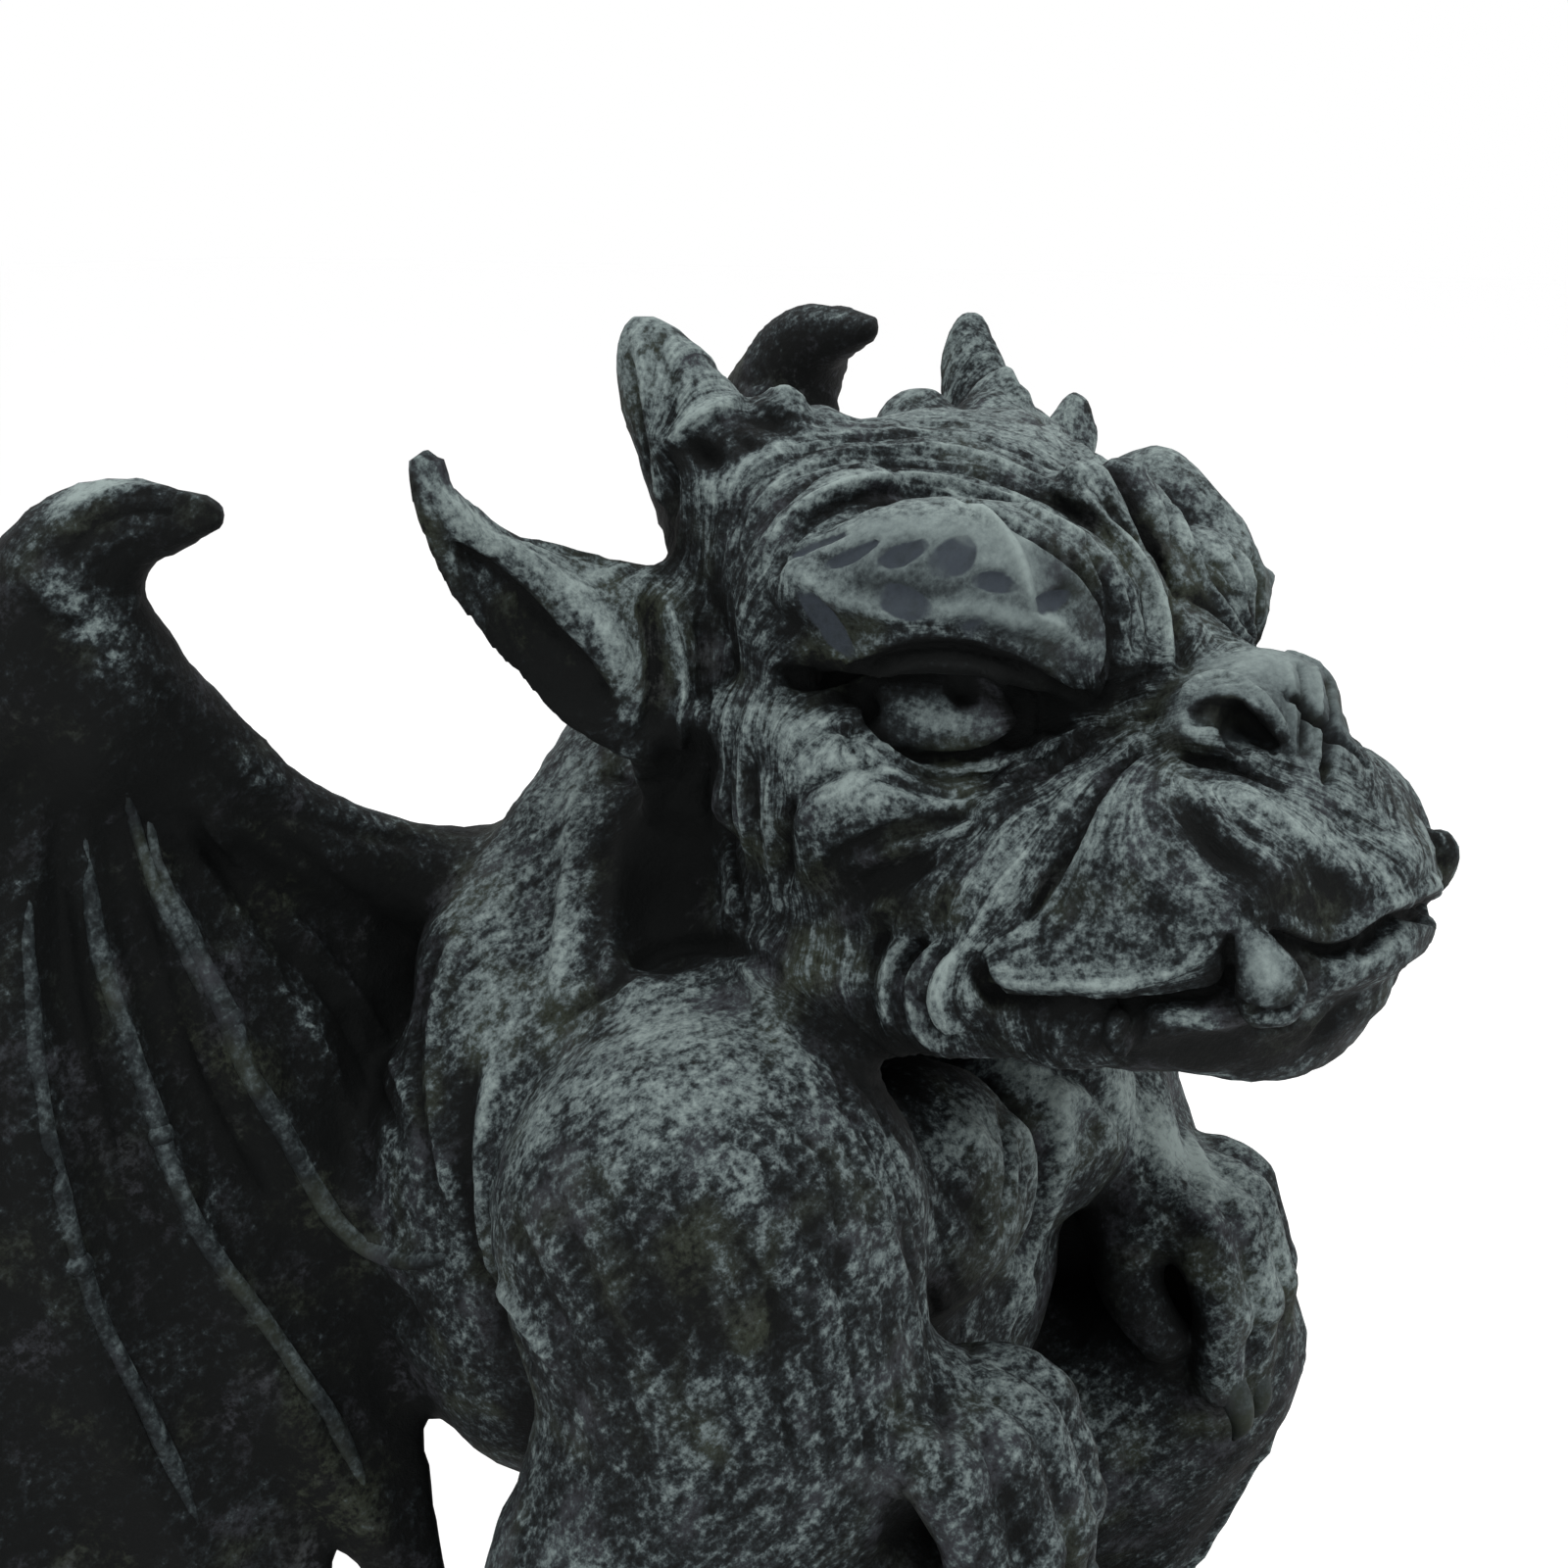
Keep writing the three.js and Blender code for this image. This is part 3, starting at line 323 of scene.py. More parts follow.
wingSet = {"skin": 3.4, "bone": 2.4, "knuckle": 2.8, "sag": 3.0, "scallop": 0.16, "lift": 11.5, "forward": 7.0}


def layWings():
    for side in (-1, 1):
        def put(row):
            x, y, z, *rest = row
            w = min(max((z - 60) / 100, 0), 1) * (side > 0)
            return (side * x, y - wingSet["forward"] * w, z + wingSet["lift"] * w * w, *rest)
        joint = (55, 60, 160)
        arm = [joint, (45, 53.5, 150.5), (36, 48.5, 143), (26, 43, 137), (16, 36, 133)]
        root = [joint, arm[2], (18, 40, 128), (18, 41, 112), (26, 38, 98)]
        bones = [[joint, (51, 54, 139), (48, 46, 122), (42, 39, 107), (34, 33, 98)],
                 [joint, (56, 57, 134), (55, 50, 112), (50, 40, 88), (42, 31, 66)],
                 [joint, (63, 61, 136), (65, 58, 116), (62, 52, 88), (52, 40, 56)],
                 [joint, (71, 69, 140), (79, 74, 116), (80, 70, 86), (70, 58, 54)]]
        net = [root]
        for bone, last in zip(bones, [root] + bones):
            t = np.linspace(0, 1, 5)[:, None]
            middle = (np.array(bone) + np.array(last)) / 2
            hang = wingSet["sag"] * np.sin(np.pi * np.minimum(t, 0.8))
            middle = middle + (np.array(joint) - middle) * t * t * wingSet["scallop"] + hang * np.array([-0.5, 0.85, 0])
            net += [middle, bone]
        wings.sheet([[put(p) for p in row] for row in net], wingSet["skin"])
        for bone in bones:
            wings.limb([put((*p, wingSet["bone"] * (1.05 - 0.13 * i))) for i, p in enumerate(bone)], k=0.8)
            for i in (2, 3):
                wings.ball(put(bone[i]), wingSet["knuckle"], k=1)
        wings.limb([put((*p, r)) for p, r in zip(arm, (6, 5, 4.6, 5.4, 8))], k=3)
        wings.ball(put((54.6, 56.4, 160)), (6.6, 7, 11), k=3)
        wings.limb([put(p) for p in ((54.6, 57, 163, 6), (49.2, 55, 156.4, 6), (43.6, 52.8, 149.6, 5.2))], k=3)
        wings.limb([put(p) for p in ((57.6, 62, 162, 7.6), (56.8, 57.2, 170.2, 6.6), (54.5, 52.6, 175, 4.7),
                                     (52.2, 43.6, 176.6, 1.8))], k=2)


layBody()
layHead()
layWings()
clay = smoothMin(smoothMin(bodyField, headField, 5.0), wingField, 4.0)
print("clay laid", shape)


def sampled(f, points):
    at, part = [], []
    for a in range(3):
        i = np.clip(np.searchsorted(axes[a], points[:, a]) - 1, 0, len(axes[a]) - 2)
        at.append(i)
        part.append(np.clip((points[:, a] - axes[a][i]) / (axes[a][i + 1] - axes[a][i]), 0, 1))
    out = 0
    for i in (0, 1):
        for j in (0, 1):
            for k in (0, 1):
                w = (part[0] if i else 1 - part[0]) * (part[1] if j else 1 - part[1]) * (part[2] if k else 1 - part[2])
                out = out + w * f[at[0] + i, at[1] + j, at[2] + k]
    return out


def slopeOf(f, points, reach=0.6):
    steps = np.eye(3) * reach
    g = np.stack([sampled(f, points + s) - sampled(f, points - s) for s in steps], 1)
    return g / (np.linalg.norm(g, axis=1)[:, None] + 1e-9)


def pinned(path):
    # A path drawn on the sheet, carried along the line of sight on to the clay: points, normals, half-widths
    rows = smoothRows([(*p, 1.0)[:3] for p in path], 8) if len(path) > 1 else np.array([(*path[0], 1.0)[:3]], float)
    ray = (-sightBack + np.outer((rows[:, 0] - sheetMiddle) / sheetFocal, sightRight)
           - np.outer((rows[:, 1] - sheetMiddle) / sheetFocal, sightUp))
    ray /= np.linalg.norm(ray, axis=1)[:, None]
    run = np.full(len(rows), sight["distance"] - 110.0)
    for _ in range(160):
        at = sightPlace + ray * run[:, None]
        run = run + np.clip(sampled(clay, at) * 0.7, -1, 2.5)
    at = sightPlace + ray * run[:, None]
    hit = np.abs(sampled(clay, at)) < 0.3
    return at[hit], slopeOf(clay, at[hit]), rows[hit, 2]


# Deep gaps are cut before the skin is taken: (depth of the cutter's middle, radius) in millimetres, then the path
gaps = {"jawToNeck": (0.6, 5.4, 3.0, [(70, 78, .5), (69, 83, .8), (68, 88), (67.5, 94, .9)]),
        "earBowl": (-0.6, 3.0, 1.2, [(48, 57.5, .5), (51, 61.6, .8), (54.6, 66, 1.05), (58, 70.5, .9), (61, 73, .6)]),
        "nostril": (0.5, 1.25, 0.6, [(122.4, 72.8, .85), (124.2, 72.3, 1.1), (127, 73.8), (130.2, 76.6, .5)])}
for depth, radius, soft, path in gaps.values():
    at, way, wide = pinned(path)
    local = (at - way * depth - sculpt["headSet"]) @ headRows.T
    rows = np.column_stack([np.abs(local[:, 0]), local[:, 1:], radius * wide])
    Frame(clay, sculpt["headSet"], headRows).limb(rows[::4], k=soft, cut=True, steps=2)
clay = np.maximum(clay, sculpt["sole"] - axes[2][None, None, :])


# Skin of the clay: one vertex in every lattice cell that the surface crosses
def skinOf(f):
    inside = f < 0
    total = np.zeros([n - 1 for n in f.shape], np.uint8)
    near = [(i, j, k) for i in (0, 1) for j in (0, 1) for k in (0, 1)]

    def corner(a, o):
        return a[o[0]:a.shape[0] - 1 + o[0], o[1]:a.shape[1] - 1 + o[1], o[2]:a.shape[2] - 1 + o[2]]
    for o in near:
        total += corner(inside, o)
    cells = np.argwhere((total > 0) & (total < 8))
    index = np.full(total.shape, -1, np.int32)
    index[tuple(cells.T)] = np.arange(len(cells))
    points, hits = np.zeros((len(cells), 3)), np.zeros(len(cells))
    for o in near:
        for axis in range(3):
            if o[axis]:
                continue
            p = tuple(o)
            q = tuple(v + (a == axis) for a, v in enumerate(o))
            fp, fq = f[tuple((cells + p).T)], f[tuple((cells + q).T)]
            cross = (fp < 0) != (fq < 0)
            t = np.where(cross, fp / np.where(cross, fp - fq, 1), 0)
            for a in range(3):
                lo, hi = axes[a][cells[:, a] + p[a]], axes[a][cells[:, a] + q[a]]
                points[:, a] += np.where(cross, lo + (hi - lo) * t, 0)
            hits += cross
    points /= hits[:, None]
    quads = []
    for axis in range(3):
        b, c = (axis + 1) % 3, (axis + 2) % 3
        first = np.take(inside, range(f.shape[axis] - 1), axis)
        second = np.take(inside, range(1, f.shape[axis]), axis)
        edges = np.argwhere(first != second)
        ok = (edges[:, b] > 0) & (edges[:, c] > 0) & (edges[:, b] < f.shape[b] - 1) & (edges[:, c] < f.shape[c] - 1)
        edges = edges[ok]
        out = first[tuple(edges.T)]
        ring = []
        for db, dc in ((-1, -1), (0, -1), (0, 0), (-1, 0)):
            cell = edges.copy()
            cell[:, b] += db
            cell[:, c] += dc
            ring.append(index[tuple(cell.T)])
        ring = np.array(ring).T
        quads.append(np.where(out[:, None], ring, ring[:, ::-1]))
    return points, np.concatenate(quads)


def largestPart(points, quads):
    label = np.arange(len(points))
    a, b = quads.ravel(), np.roll(quads, 1, axis=1).ravel()
    while True:
        least = np.minimum(label[a], label[b])
        before = label.copy()
        np.minimum.at(label, a, least)
        np.minimum.at(label, b, least)
        label = label[label]
        if (label == before).all():
            break
    names, sizes = np.unique(label, return_counts=True)
    keep = label == names[sizes.argmax()]
    index = np.cumsum(keep) - 1
    return points[keep], index[quads[keep[quads[:, 0]]]]


points, quads = largestPart(*skinOf(clay))
print("skin", len(points), "points")


def plainMesh(name, points, faces, smooth=True):
    mesh = bpy.data.meshes.new(name)
    n, m = len(faces), faces.shape[1]
    mesh.vertices.add(len(points))
    mesh.vertices.foreach_set("co", (points * mm).astype(np.float32).ravel())
    mesh.loops.add(n * m)
    mesh.loops.foreach_set("vertex_index", faces.astype(np.int32).ravel())
    mesh.polygons.add(n)
    mesh.polygons.foreach_set("loop_start", np.arange(0, n * m, m, dtype=np.int32))
    mesh.polygons.foreach_set("use_smooth", np.full(n, smooth))
    mesh.update(calc_edges=True)
    mesh.validate()
    return mesh


def worked(piece, kind, **settings):
    # Runs one modifier and keeps its plain result
    modifier = piece.modifiers.new(kind.lower(), kind)
    for key, value in settings.items():
        setattr(modifier, key, value)
    made = bpy.data.meshes.new_from_object(piece.evaluated_get(bpy.context.evaluated_depsgraph_get()))
    piece.modifiers.remove(modifier)
    piece.data = made
    return made


def pointsOf(mesh):
    flat = np.zeros(len(mesh.vertices) * 3, np.float32)
    mesh.vertices.foreach_get("co", flat)
    return flat.reshape(-1, 3).astype(float) / mm


def normalsOf(mesh):
    flat = np.zeros(len(mesh.vertices) * 3, np.float32)
    mesh.vertex_normals.foreach_get("vector", flat)
    return flat.reshape(-1, 3).astype(float)


def keep(mesh, name, values):
    layer = mesh.attributes.get(name) or mesh.attributes.new(name, "FLOAT", "POINT")
    layer.data.foreach_set("value", values.astype(np.float32))


gargoyle = bpy.data.objects.new("gargoyleFigure", plainMesh("gargoyleFigure", points, quads))
bpy.context.collection.objects.link(gargoyle)
fine = gargoyle.data
normal = slopeOf(clay, points)
place = points - normal * np.clip(sampled(clay, points), -0.2, 0.2)[:, None]

# Carving, drawn on the sheet: (height, half-width) in millimetres, then the path; grooves have a negative height
browCarving = {
    "outlineGroove": (-0.9, 0.9, [(79.2, 58.4), (80.4, 55.6), (83, 53), (86.4, 51.2), (90, 50.3), (95, 50.4), (100, 51.6),
                                  (104, 53.8), (108, 55.8), (111, 58.6), (113, 62), (113.6, 66), (112.6, 70)]),
    "ringRidge": (0.7, 0.8, [(78, 58, .4), (79, 55, .6), (81.5, 52), (85.5, 49.8), (90, 48.9), (95, 48.9),
                             (100, 50), (105, 52), (110, 55), (113.5, 58.6), (115, 63)]),
    "ringGroove": (-0.6, 0.7, [(76.8, 57, .4), (77.8, 54, .6), (80.5, 50.6), (85, 48.2), (90, 47.4), (95, 47.6),
                               (100, 48.4), (105, 50.3), (110, 53), (114.5, 57.4), (116, 62)]),
    "outerRidge": (0.5, 0.7, [(75.8, 56, .4), (77, 52, .6), (80, 48.9), (85, 46.6), (90, 45.9), (96, 45.8),
                              (101, 46.8), (106, 48.8), (111, 52)]),
    "outerGroove": (-0.4, 0.6, [(74.6, 55, .4), (76, 51, .6), (79, 47.6), (85, 45.2), (90, 44.6), (97, 44.5),
                                (103, 45.8), (108, 48)]),
    "lowerEdge": (0.5, 1.6, [(80.4, 58.2), (83.4, 60), (86.5, 61.6), (90, 62.4), (95, 62.6), (100, 62.6), (105, 63.6),
                             (109, 65), (112, 67)]),
    "underLobe": (0.5, 2.4, [(83, 64), (86, 66), (90, 67)]),
    "crease": (-1.6, 1.2, [(79.4, 68.8), (84, 69.4), (88, 68.4), (92, 66.8), (96, 66.4), (100, 66.8), (104, 68.4),
                           (108, 70.6), (111, 71.4)]),
    "lobeSeam": (0.7, 0.9, [(99.5, 51.8), (102.5, 54.5), (104.2, 57.6), (104.8, 60.4), (106, 62.4), (108.5, 63.6)]),
    "lobeHollow": (-0.9, 3.0, [(107, 57.4), (109.4, 60.6)]),
    "lobeDimple": (-0.5, 1.8, [(108, 61.6), (109.4, 60.4)]),
}
scaleCarving = {
    "scale1": (-0.5, 0.95, [(80.8, 56.6, .5), (83, 55.4), (86.2, 54.2, .7)]),
    "scale2": (-0.5, 0.85, [(84.4, 57.6, .7), (86.8, 56.6), (89.6, 55, .5)]),
    "scale3": (-0.55, 1.2, [(89.8, 57.4, .5), (91.8, 56.6), (94.3, 55.4, .6)]),
    "scale4": (-0.55, 2.0, [(96.2, 57.4, .9), (97.6, 56.6), (98.4, 55.4, .7)]),
    "scale5": (-0.5, 1.1, [(99.8, 59.2, .8), (101.8, 59.4), (103.4, 60, .7)]),
    "scale6": (-0.3, 0.6, [(101.2, 56), (101.4, 56.6)]),
    "scale7": (-0.45, 1.7, [(89.8, 60.6, .7), (92, 61.4), (94.6, 62.6, .8)]),
    "scale8": (-0.3, 1.6, [(106.6, 57.2), (107.4, 58)]),
    "scale9": (-0.45, 1.1, [(105.4, 61.8, .8), (107.6, 61.4), (109.8, 60.8, .6)]),
    "scale10": (-0.4, 1.4, [(98.6, 63.2), (99.8, 64.4)]),
    "scale11": (-0.4, 1.7, [(81.6, 60.4, .5), (83.6, 62.8), (85.6, 65.2, .9), (87, 67, .6)]),
}
eyeCarving = {
    "upperLid": (0.5, 0.7, [(83, 71.2), (87, 69.8), (90.5, 68.4), (94, 67.8), (98, 67.7), (101.5, 68.7), (104.5, 71)]),
    "socket": (-1.7, 1.0, [(88.4, 71.6), (89.4, 74.4), (91.6, 76.6), (95, 77.6), (99, 77.5), (102.6, 76.2),
                           (105, 73.8)]),
    "innerCorner": (-1.6, 1.7, [(103.6, 70.6), (105, 73), (104, 76)]),
    "outerCorner": (-1.5, 1.2, [(87.2, 71.4), (89, 70.6)]),
    "lowerLid": (0.9, 0.9, [(88.6, 73.4), (90.6, 76.6), (94, 78.4), (98, 78.6), (102, 78)]),
    "lidLine": (0.4, 0.7, [(100, 78.6), (104, 77.6), (108, 76), (113, 73.8), (118, 71.6)]),
    "underLid": (-0.5, 0.8, [(86, 74), (87.6, 77), (90.6, 79.6), (95, 81), (100, 80.8), (105, 79), (110, 76.6)]),
    "pupil": (-3.0, 1.7, [(98, 70.2), (98.5, 70.7)]),
}
noseCarving = {
    "browValley": (-1.3, 1.1, [(113, 51.5), (117, 56), (119.6, 60), (120.6, 64), (120.8, 68)]),
    "longFold": (0.9, 0.9, [(110, 50), (114, 54), (116.6, 57.6), (118.2, 61), (119, 64.4), (119.2, 69)]),
    "foldLine": (-0.4, 0.5, [(114.4, 56), (116.6, 60), (117.4, 64.5), (117.4, 69.6)]),
    "shortFold": (0.5, 0.8, [(112.8, 56), (115.2, 60), (116, 65), (115.6, 70)]),
    "innerValley": (-1.1, 1.0, [(110.4, 54.8), (113.4, 60), (114.3, 65), (113.8, 70), (112, 72.6)]),
    "upperRim": (0.5, 0.8, [(120.6, 71.4), (121.8, 69.6), (125, 68.8), (128, 70.4), (130.4, 73.4), (131.4, 76)]),
    "lowerRim": (0.5, 0.7, [(120.6, 74.4), (123, 75.8), (126.4, 76.4), (129.4, 78.2)]),
    "underNose": (-1.3, 0.7, [(120, 76.6), (122.4, 77.6), (125.4, 78), (128.6, 79.4), (131.4, 80.6)]),
    "farNostril": (-1.5, 0.9, [(135.6, 70), (136.2, 73.4), (135.6, 77), (135.4, 79.6)]),
}
# The septum is in the middle, so these stay on one side
septumCarving = {
    "plateEdge": (0.4, 0.5, [(131.4, 67.6), (131.9, 71), (131.9, 77)]),
    "plateGroove": (-0.8, 0.55, [(132.8, 67.8), (133.2, 71), (133, 77)]),
    "bridge": (0.5, 0.45, [(134.1, 68.2), (134.6, 71), (134.4, 78)]),
    "farNostril": (-1.0, 0.8, [(135.6, 69.4), (136, 72)]),
    "farGroove": (-0.8, 0.6, [(135.2, 75), (135.6, 79)]),
}
cheekCarving = {
    "mainCrease": (-1.5, 1.1, [(116, 76.6, .6), (113.6, 79), (111.4, 82), (109.4, 85.4), (107.4, 89.4, .9),
                               (105, 94, .6)]),
    "mainFold": (0.6, 1.3, [(118, 74.4), (113.4, 77.2), (110, 80.2), (107, 84.2), (104, 88.6), (101, 93), (98.4, 97)]),
    "besideFold": (-0.5, 0.9, [(115, 73.6), (110, 76.4), (105, 80.5), (101, 85), (98, 89.6), (95.6, 94)]),
    "secondFold": (0.5, 1.0, [(112, 73.4), (106, 77.2), (101, 81.6), (97, 86), (94, 90.6), (91.4, 96), (90.2, 100)]),
    "bagTop": (0.6, 2.4, [(79, 75), (83, 74)]),
    "topCrease1": (-0.6, 0.7, [(79.6, 78.6), (81.6, 76), (84.6, 74.4), (87.4, 74.4)]),
    "bagCrease": (-0.8, 0.8, [(80, 83.6), (82.2, 80.8), (85.4, 79), (89, 78)]),
    "bag": (0.4, 3.4, [(85, 82), (90, 80.6), (95, 81.6)]),
    "templeFold1": (-0.7, 0.7, [(75.6, 71), (74.4, 76), (74.2, 82), (75, 88), (76, 94)]),
    "templeFold2": (0.5, 0.7, [(77, 72), (75.8, 77), (75.7, 83), (76.5, 88), (77.6, 94)]),
    "templeFold3": (-0.5, 0.6, [(73, 73), (72.4, 80), (72.8, 86)]),
    "bagUnder": (-1.1, 1.4, [(83, 89.6), (86, 87.4), (90.5, 85.2), (95, 84.3), (99.5, 82.8)]),
    "hollowRidge": (0.5, 0.8, [(86, 90.6), (90, 88), (95, 86), (99, 84)]),
    "hollow": (-1.4, 2.6, [(84, 91.4), (90, 89.8), (96, 87.8)]),
    "hollowRidge2": (0.5, 0.8, [(88, 93.6), (92, 91.4), (96, 89)]),
    "sideGroove": (-0.9, 1.0, [(76.8, 77), (76.6, 80), (76.8, 84)]),
    "sideRidge": (0.6, 0.6, [(78.6, 79), (78.4, 84), (78.8, 88), (79.6, 93)]),
    "sideHollow": (-1.3, 1.1, [(80.2, 82), (80, 86), (80.2, 90)]),
}
mouthCarving = {
    "bead": (1.3, 1.3, [(98.6, 97), (96.6, 99.2), (95.8, 101.8), (96.4, 104), (98.2, 104.8)]),
    "corner": (-2.0, 1.4, [(99.4, 98), (100, 100), (101.4, 102)]),
    "beadGroove": (-0.8, 0.7, [(97, 96.6), (94.8, 99.4), (94.2, 102), (95, 104.8), (97.4, 106.4)]),
    "secondBead": (0.8, 0.8, [(96.2, 96), (93.8, 98.8), (93, 101.8), (93.6, 104.8), (95.6, 107)]),
    "secondGroove": (-1.0, 0.9, [(94.4, 96.4), (92.3, 98.8), (91.5, 101.6), (92, 104.6)]),
    "thirdBead": (0.6, 0.8, [(93.6, 95), (91, 98), (90.2, 101.4), (90.6, 105)]),
    "thirdGroove": (-0.9, 1.0, [(90.6, 95), (88.8, 98.6), (88.5, 102), (89, 105)]),
    "upperLip": (0.6, 1.0, [(101, 99.2), (104, 100.5), (110, 100.5), (115, 100.3), (120, 99), (123.2, 97.2),
                            (124.9, 95), (126, 93.4)]),
    "frontLip": (0.8, 1.2, [(130.4, 93.8), (133, 95), (136.5, 95.4), (139.4, 93.6), (142, 92), (145, 91.2)]),
    "mouthLine": (-1.6, 0.9, [(101, 102), (105, 102.3), (110, 102.3), (115, 102.3), (120, 102), (124, 101.4),
                              (126, 99.4)]),
    "frontLine": (-1.6, 0.9, [(130, 95.4), (133.4, 96.8), (137, 97), (140, 95), (143.4, 93.2), (146, 93.8)]),
    "aroundTusk": (-0.8, 0.7, [(125.4, 95.4), (125.4, 99), (126.2, 102), (129.2, 103.8), (132.4, 102.8), (133.8, 99.8)]),
    "besideTooth": (-0.6, 0.9, [(116.6, 102.6), (116.4, 106)]),
    "lowerLip": (0.35, 1.0, [(118, 103.6), (122, 104.2), (127, 105.4), (131, 105.2), (134.4, 102.8), (136, 99.8),
                            (139, 98), (143, 95.9)]),
    "chinHollow": (-1.0, 1.8, [(134, 106.5), (136, 104.6), (137.6, 102.8)]),
    "muzzleHollow1": (-0.7, 1.5, [(120.6, 82), (122.4, 84.8), (124.4, 87.4), (127.6, 89.2)]),
    "muzzleFold1": (0.5, 0.9, [(120.4, 79.4), (123, 82.4), (125.6, 85.4), (128.6, 87.6), (132, 89)]),
    "muzzleHollow2": (-0.6, 0.9, [(124.6, 81.4), (126.6, 84), (128.8, 86)]),
    "muzzleFold2": (0.42, 1.4, [(126, 80.6), (131, 83.5), (135, 87), (139, 91)]),
    "muzzleHollow3": (-0.56, 2.1, [(129.5, 86.4), (133, 89), (136.6, 91)]),
    "muzzleHollow4": (-0.63, 3, [(115, 90), (118, 94), (120, 97)]),
}
earCarving = {
    "helix": (1.2, 2.4, [(44, 50, .6), (48, 54, .8), (53, 57), (58.5, 61, 1.1), (62, 65.4), (63.6, 69.6, .8)]),
    "underHelix": (-1.2, 1.2, [(46.4, 55.6, .6), (51, 58.6), (55, 62.8), (59, 67), (62, 71.4)]),
    "topGroove": (-0.4, 0.6, [(50, 54), (56, 55.8), (62, 57.6)]),
    "dimple": (-0.5, 0.9, [(49.2, 53.4), (49.8, 54)]),
    "innerGroove": (-1.4, 1.5, [(66.2, 61), (66.8, 66), (66.9, 71), (66, 75)]),
    "tragus": (0.8, 0.7, [(68.2, 62), (69.2, 66), (69.7, 71), (69.5, 76)]),
    "besideTragus": (-1.0, 1.0, [(71.4, 63), (71.9, 68), (71.8, 74)]),
    "lobe1": (0.9, 2.2, [(65, 77), (67, 77.6)]),
    "lobe2": (0.9, 2.2, [(66, 82.4), (67, 83)]),
    "lobeGroove": (-0.8, 1.0, [(62.4, 79), (65.6, 80), (68.6, 79.6)]),
}
hornCarving = {
    "rib": (0.7, 1.1, [(65, 34), (66, 40), (67, 46), (67.6, 51)]),
    "ribGroove": (-0.6, 0.8, [(67.4, 35), (68.6, 40), (68.4, 44)]),
    "backGroove": (-0.5, 0.7, [(64.4, 37), (65.6, 43), (66.4, 48)]),
    "ringArch": (0.9, 1.3, [(68.2, 45), (71, 42.6), (75, 40.8), (79, 39.8), (83, 41)]),
    "ringHollow1": (-1.7, 1.5, [(70.4, 45.4), (73, 46.8)]),
    "ringHollow2": (-1.1, 1.7, [(77.6, 42.4), (80.4, 43.4)]),
    "ringHollow3": (-0.9, 1.1, [(75.8, 44.8), (77.4, 45.8)]),
    "ringBump": (0.6, 1.9, [(71.8, 50), (74.4, 49.6)]),
    "ringCrease": (-1.1, 1.1, [(68.4, 48), (68.6, 52)]),
}
bodyCarving = {
    "shoulderRear": (1.0, 1.3, [(50.6, 109), (49.4, 115), (49.2, 121), (50, 128), (53, 134), (57, 139.4)]),
    "behindShoulder": (-1.2, 1.5, [(48, 108), (47.2, 115), (47.4, 121), (48.6, 127.6), (51.4, 134.6), (54, 139)]),
    "flankFold": (0.8, 1.1, [(46.4, 96), (44.7, 102), (44.1, 108), (44.5, 115), (45.8, 121), (48, 126)]),
    "flankGroove": (-0.8, 1.2, [(44.8, 96), (42.8, 102), (42.4, 109), (42.8, 115), (44, 121)]),
    "shoulderTop": (-0.9, 1.5, [(55, 104.5), (60, 102), (65, 98.6), (70, 96.4), (75, 96.8), (79, 99.4)]),
    "muscle1": (-0.65, 1.6, [(52, 124), (56, 133), (59, 139.4)]),
    "muscle2": (-0.65, 1.7, [(56, 121.6), (60, 130.6), (64, 139.4)]),
    "muscle3": (-0.65, 1.7, [(60.4, 120), (64.8, 129), (69.4, 139.4)]),
    "muscle4": (-0.65, 1.8, [(65, 120.6), (70.2, 130), (74.6, 139.4)]),
    "muscle5": (-0.65, 2.0, [(71, 122), (76.6, 130), (81.4, 139)]),
    "muscle6": (-0.5, 1.6, [(79.4, 120), (83, 125.6), (87, 133)]),
    "armFront": (-0.4, 1.2, [(84, 106), (87, 113), (90, 121), (93.4, 130), (97, 139)]),
    "armRidge": (0.4, 0.8, [(87, 112), (89.4, 120), (92, 129), (94, 138)]),
    "armLine": (-0.5, 0.8, [(90, 113), (92.4, 121), (94.6, 130), (96, 138)]),
    "neckBand": (0.6, 1.6, [(58.6, 80), (58.4, 86), (57.6, 92), (57, 98), (57.6, 103)]),
    "neckGroove": (-0.9, 1.6, [(61.6, 85), (61, 91), (60.4, 97), (60, 101)]),
    "chestCord": (1.0, 2.2, [(108, 111), (108.4, 118), (106.6, 124), (104, 130), (102.6, 136)]),
    "chestGroove": (-1.2, 2.0, [(102.4, 113), (103.4, 119), (102.6, 125)]),
    "breast": (1.0, 2.6, [(98, 114.6), (101, 117.4)]),
    "breastFold": (-0.8, 1.4, [(96, 120), (99, 123.4), (101, 127)]),
    "farPit": (-1.0, 2.0, [(110.6, 113.6), (112.6, 116)]),
    "farArmFold": (-0.8, 1.8, [(117, 118), (119.4, 123), (123, 127)]),
    "farArmRidge": (0.7, 1.8, [(120.6, 115), (122.6, 119), (123.6, 124)]),
    "throatCord": (0.6, 1.4, [(76, 98), (79, 104), (83, 110)]),
}
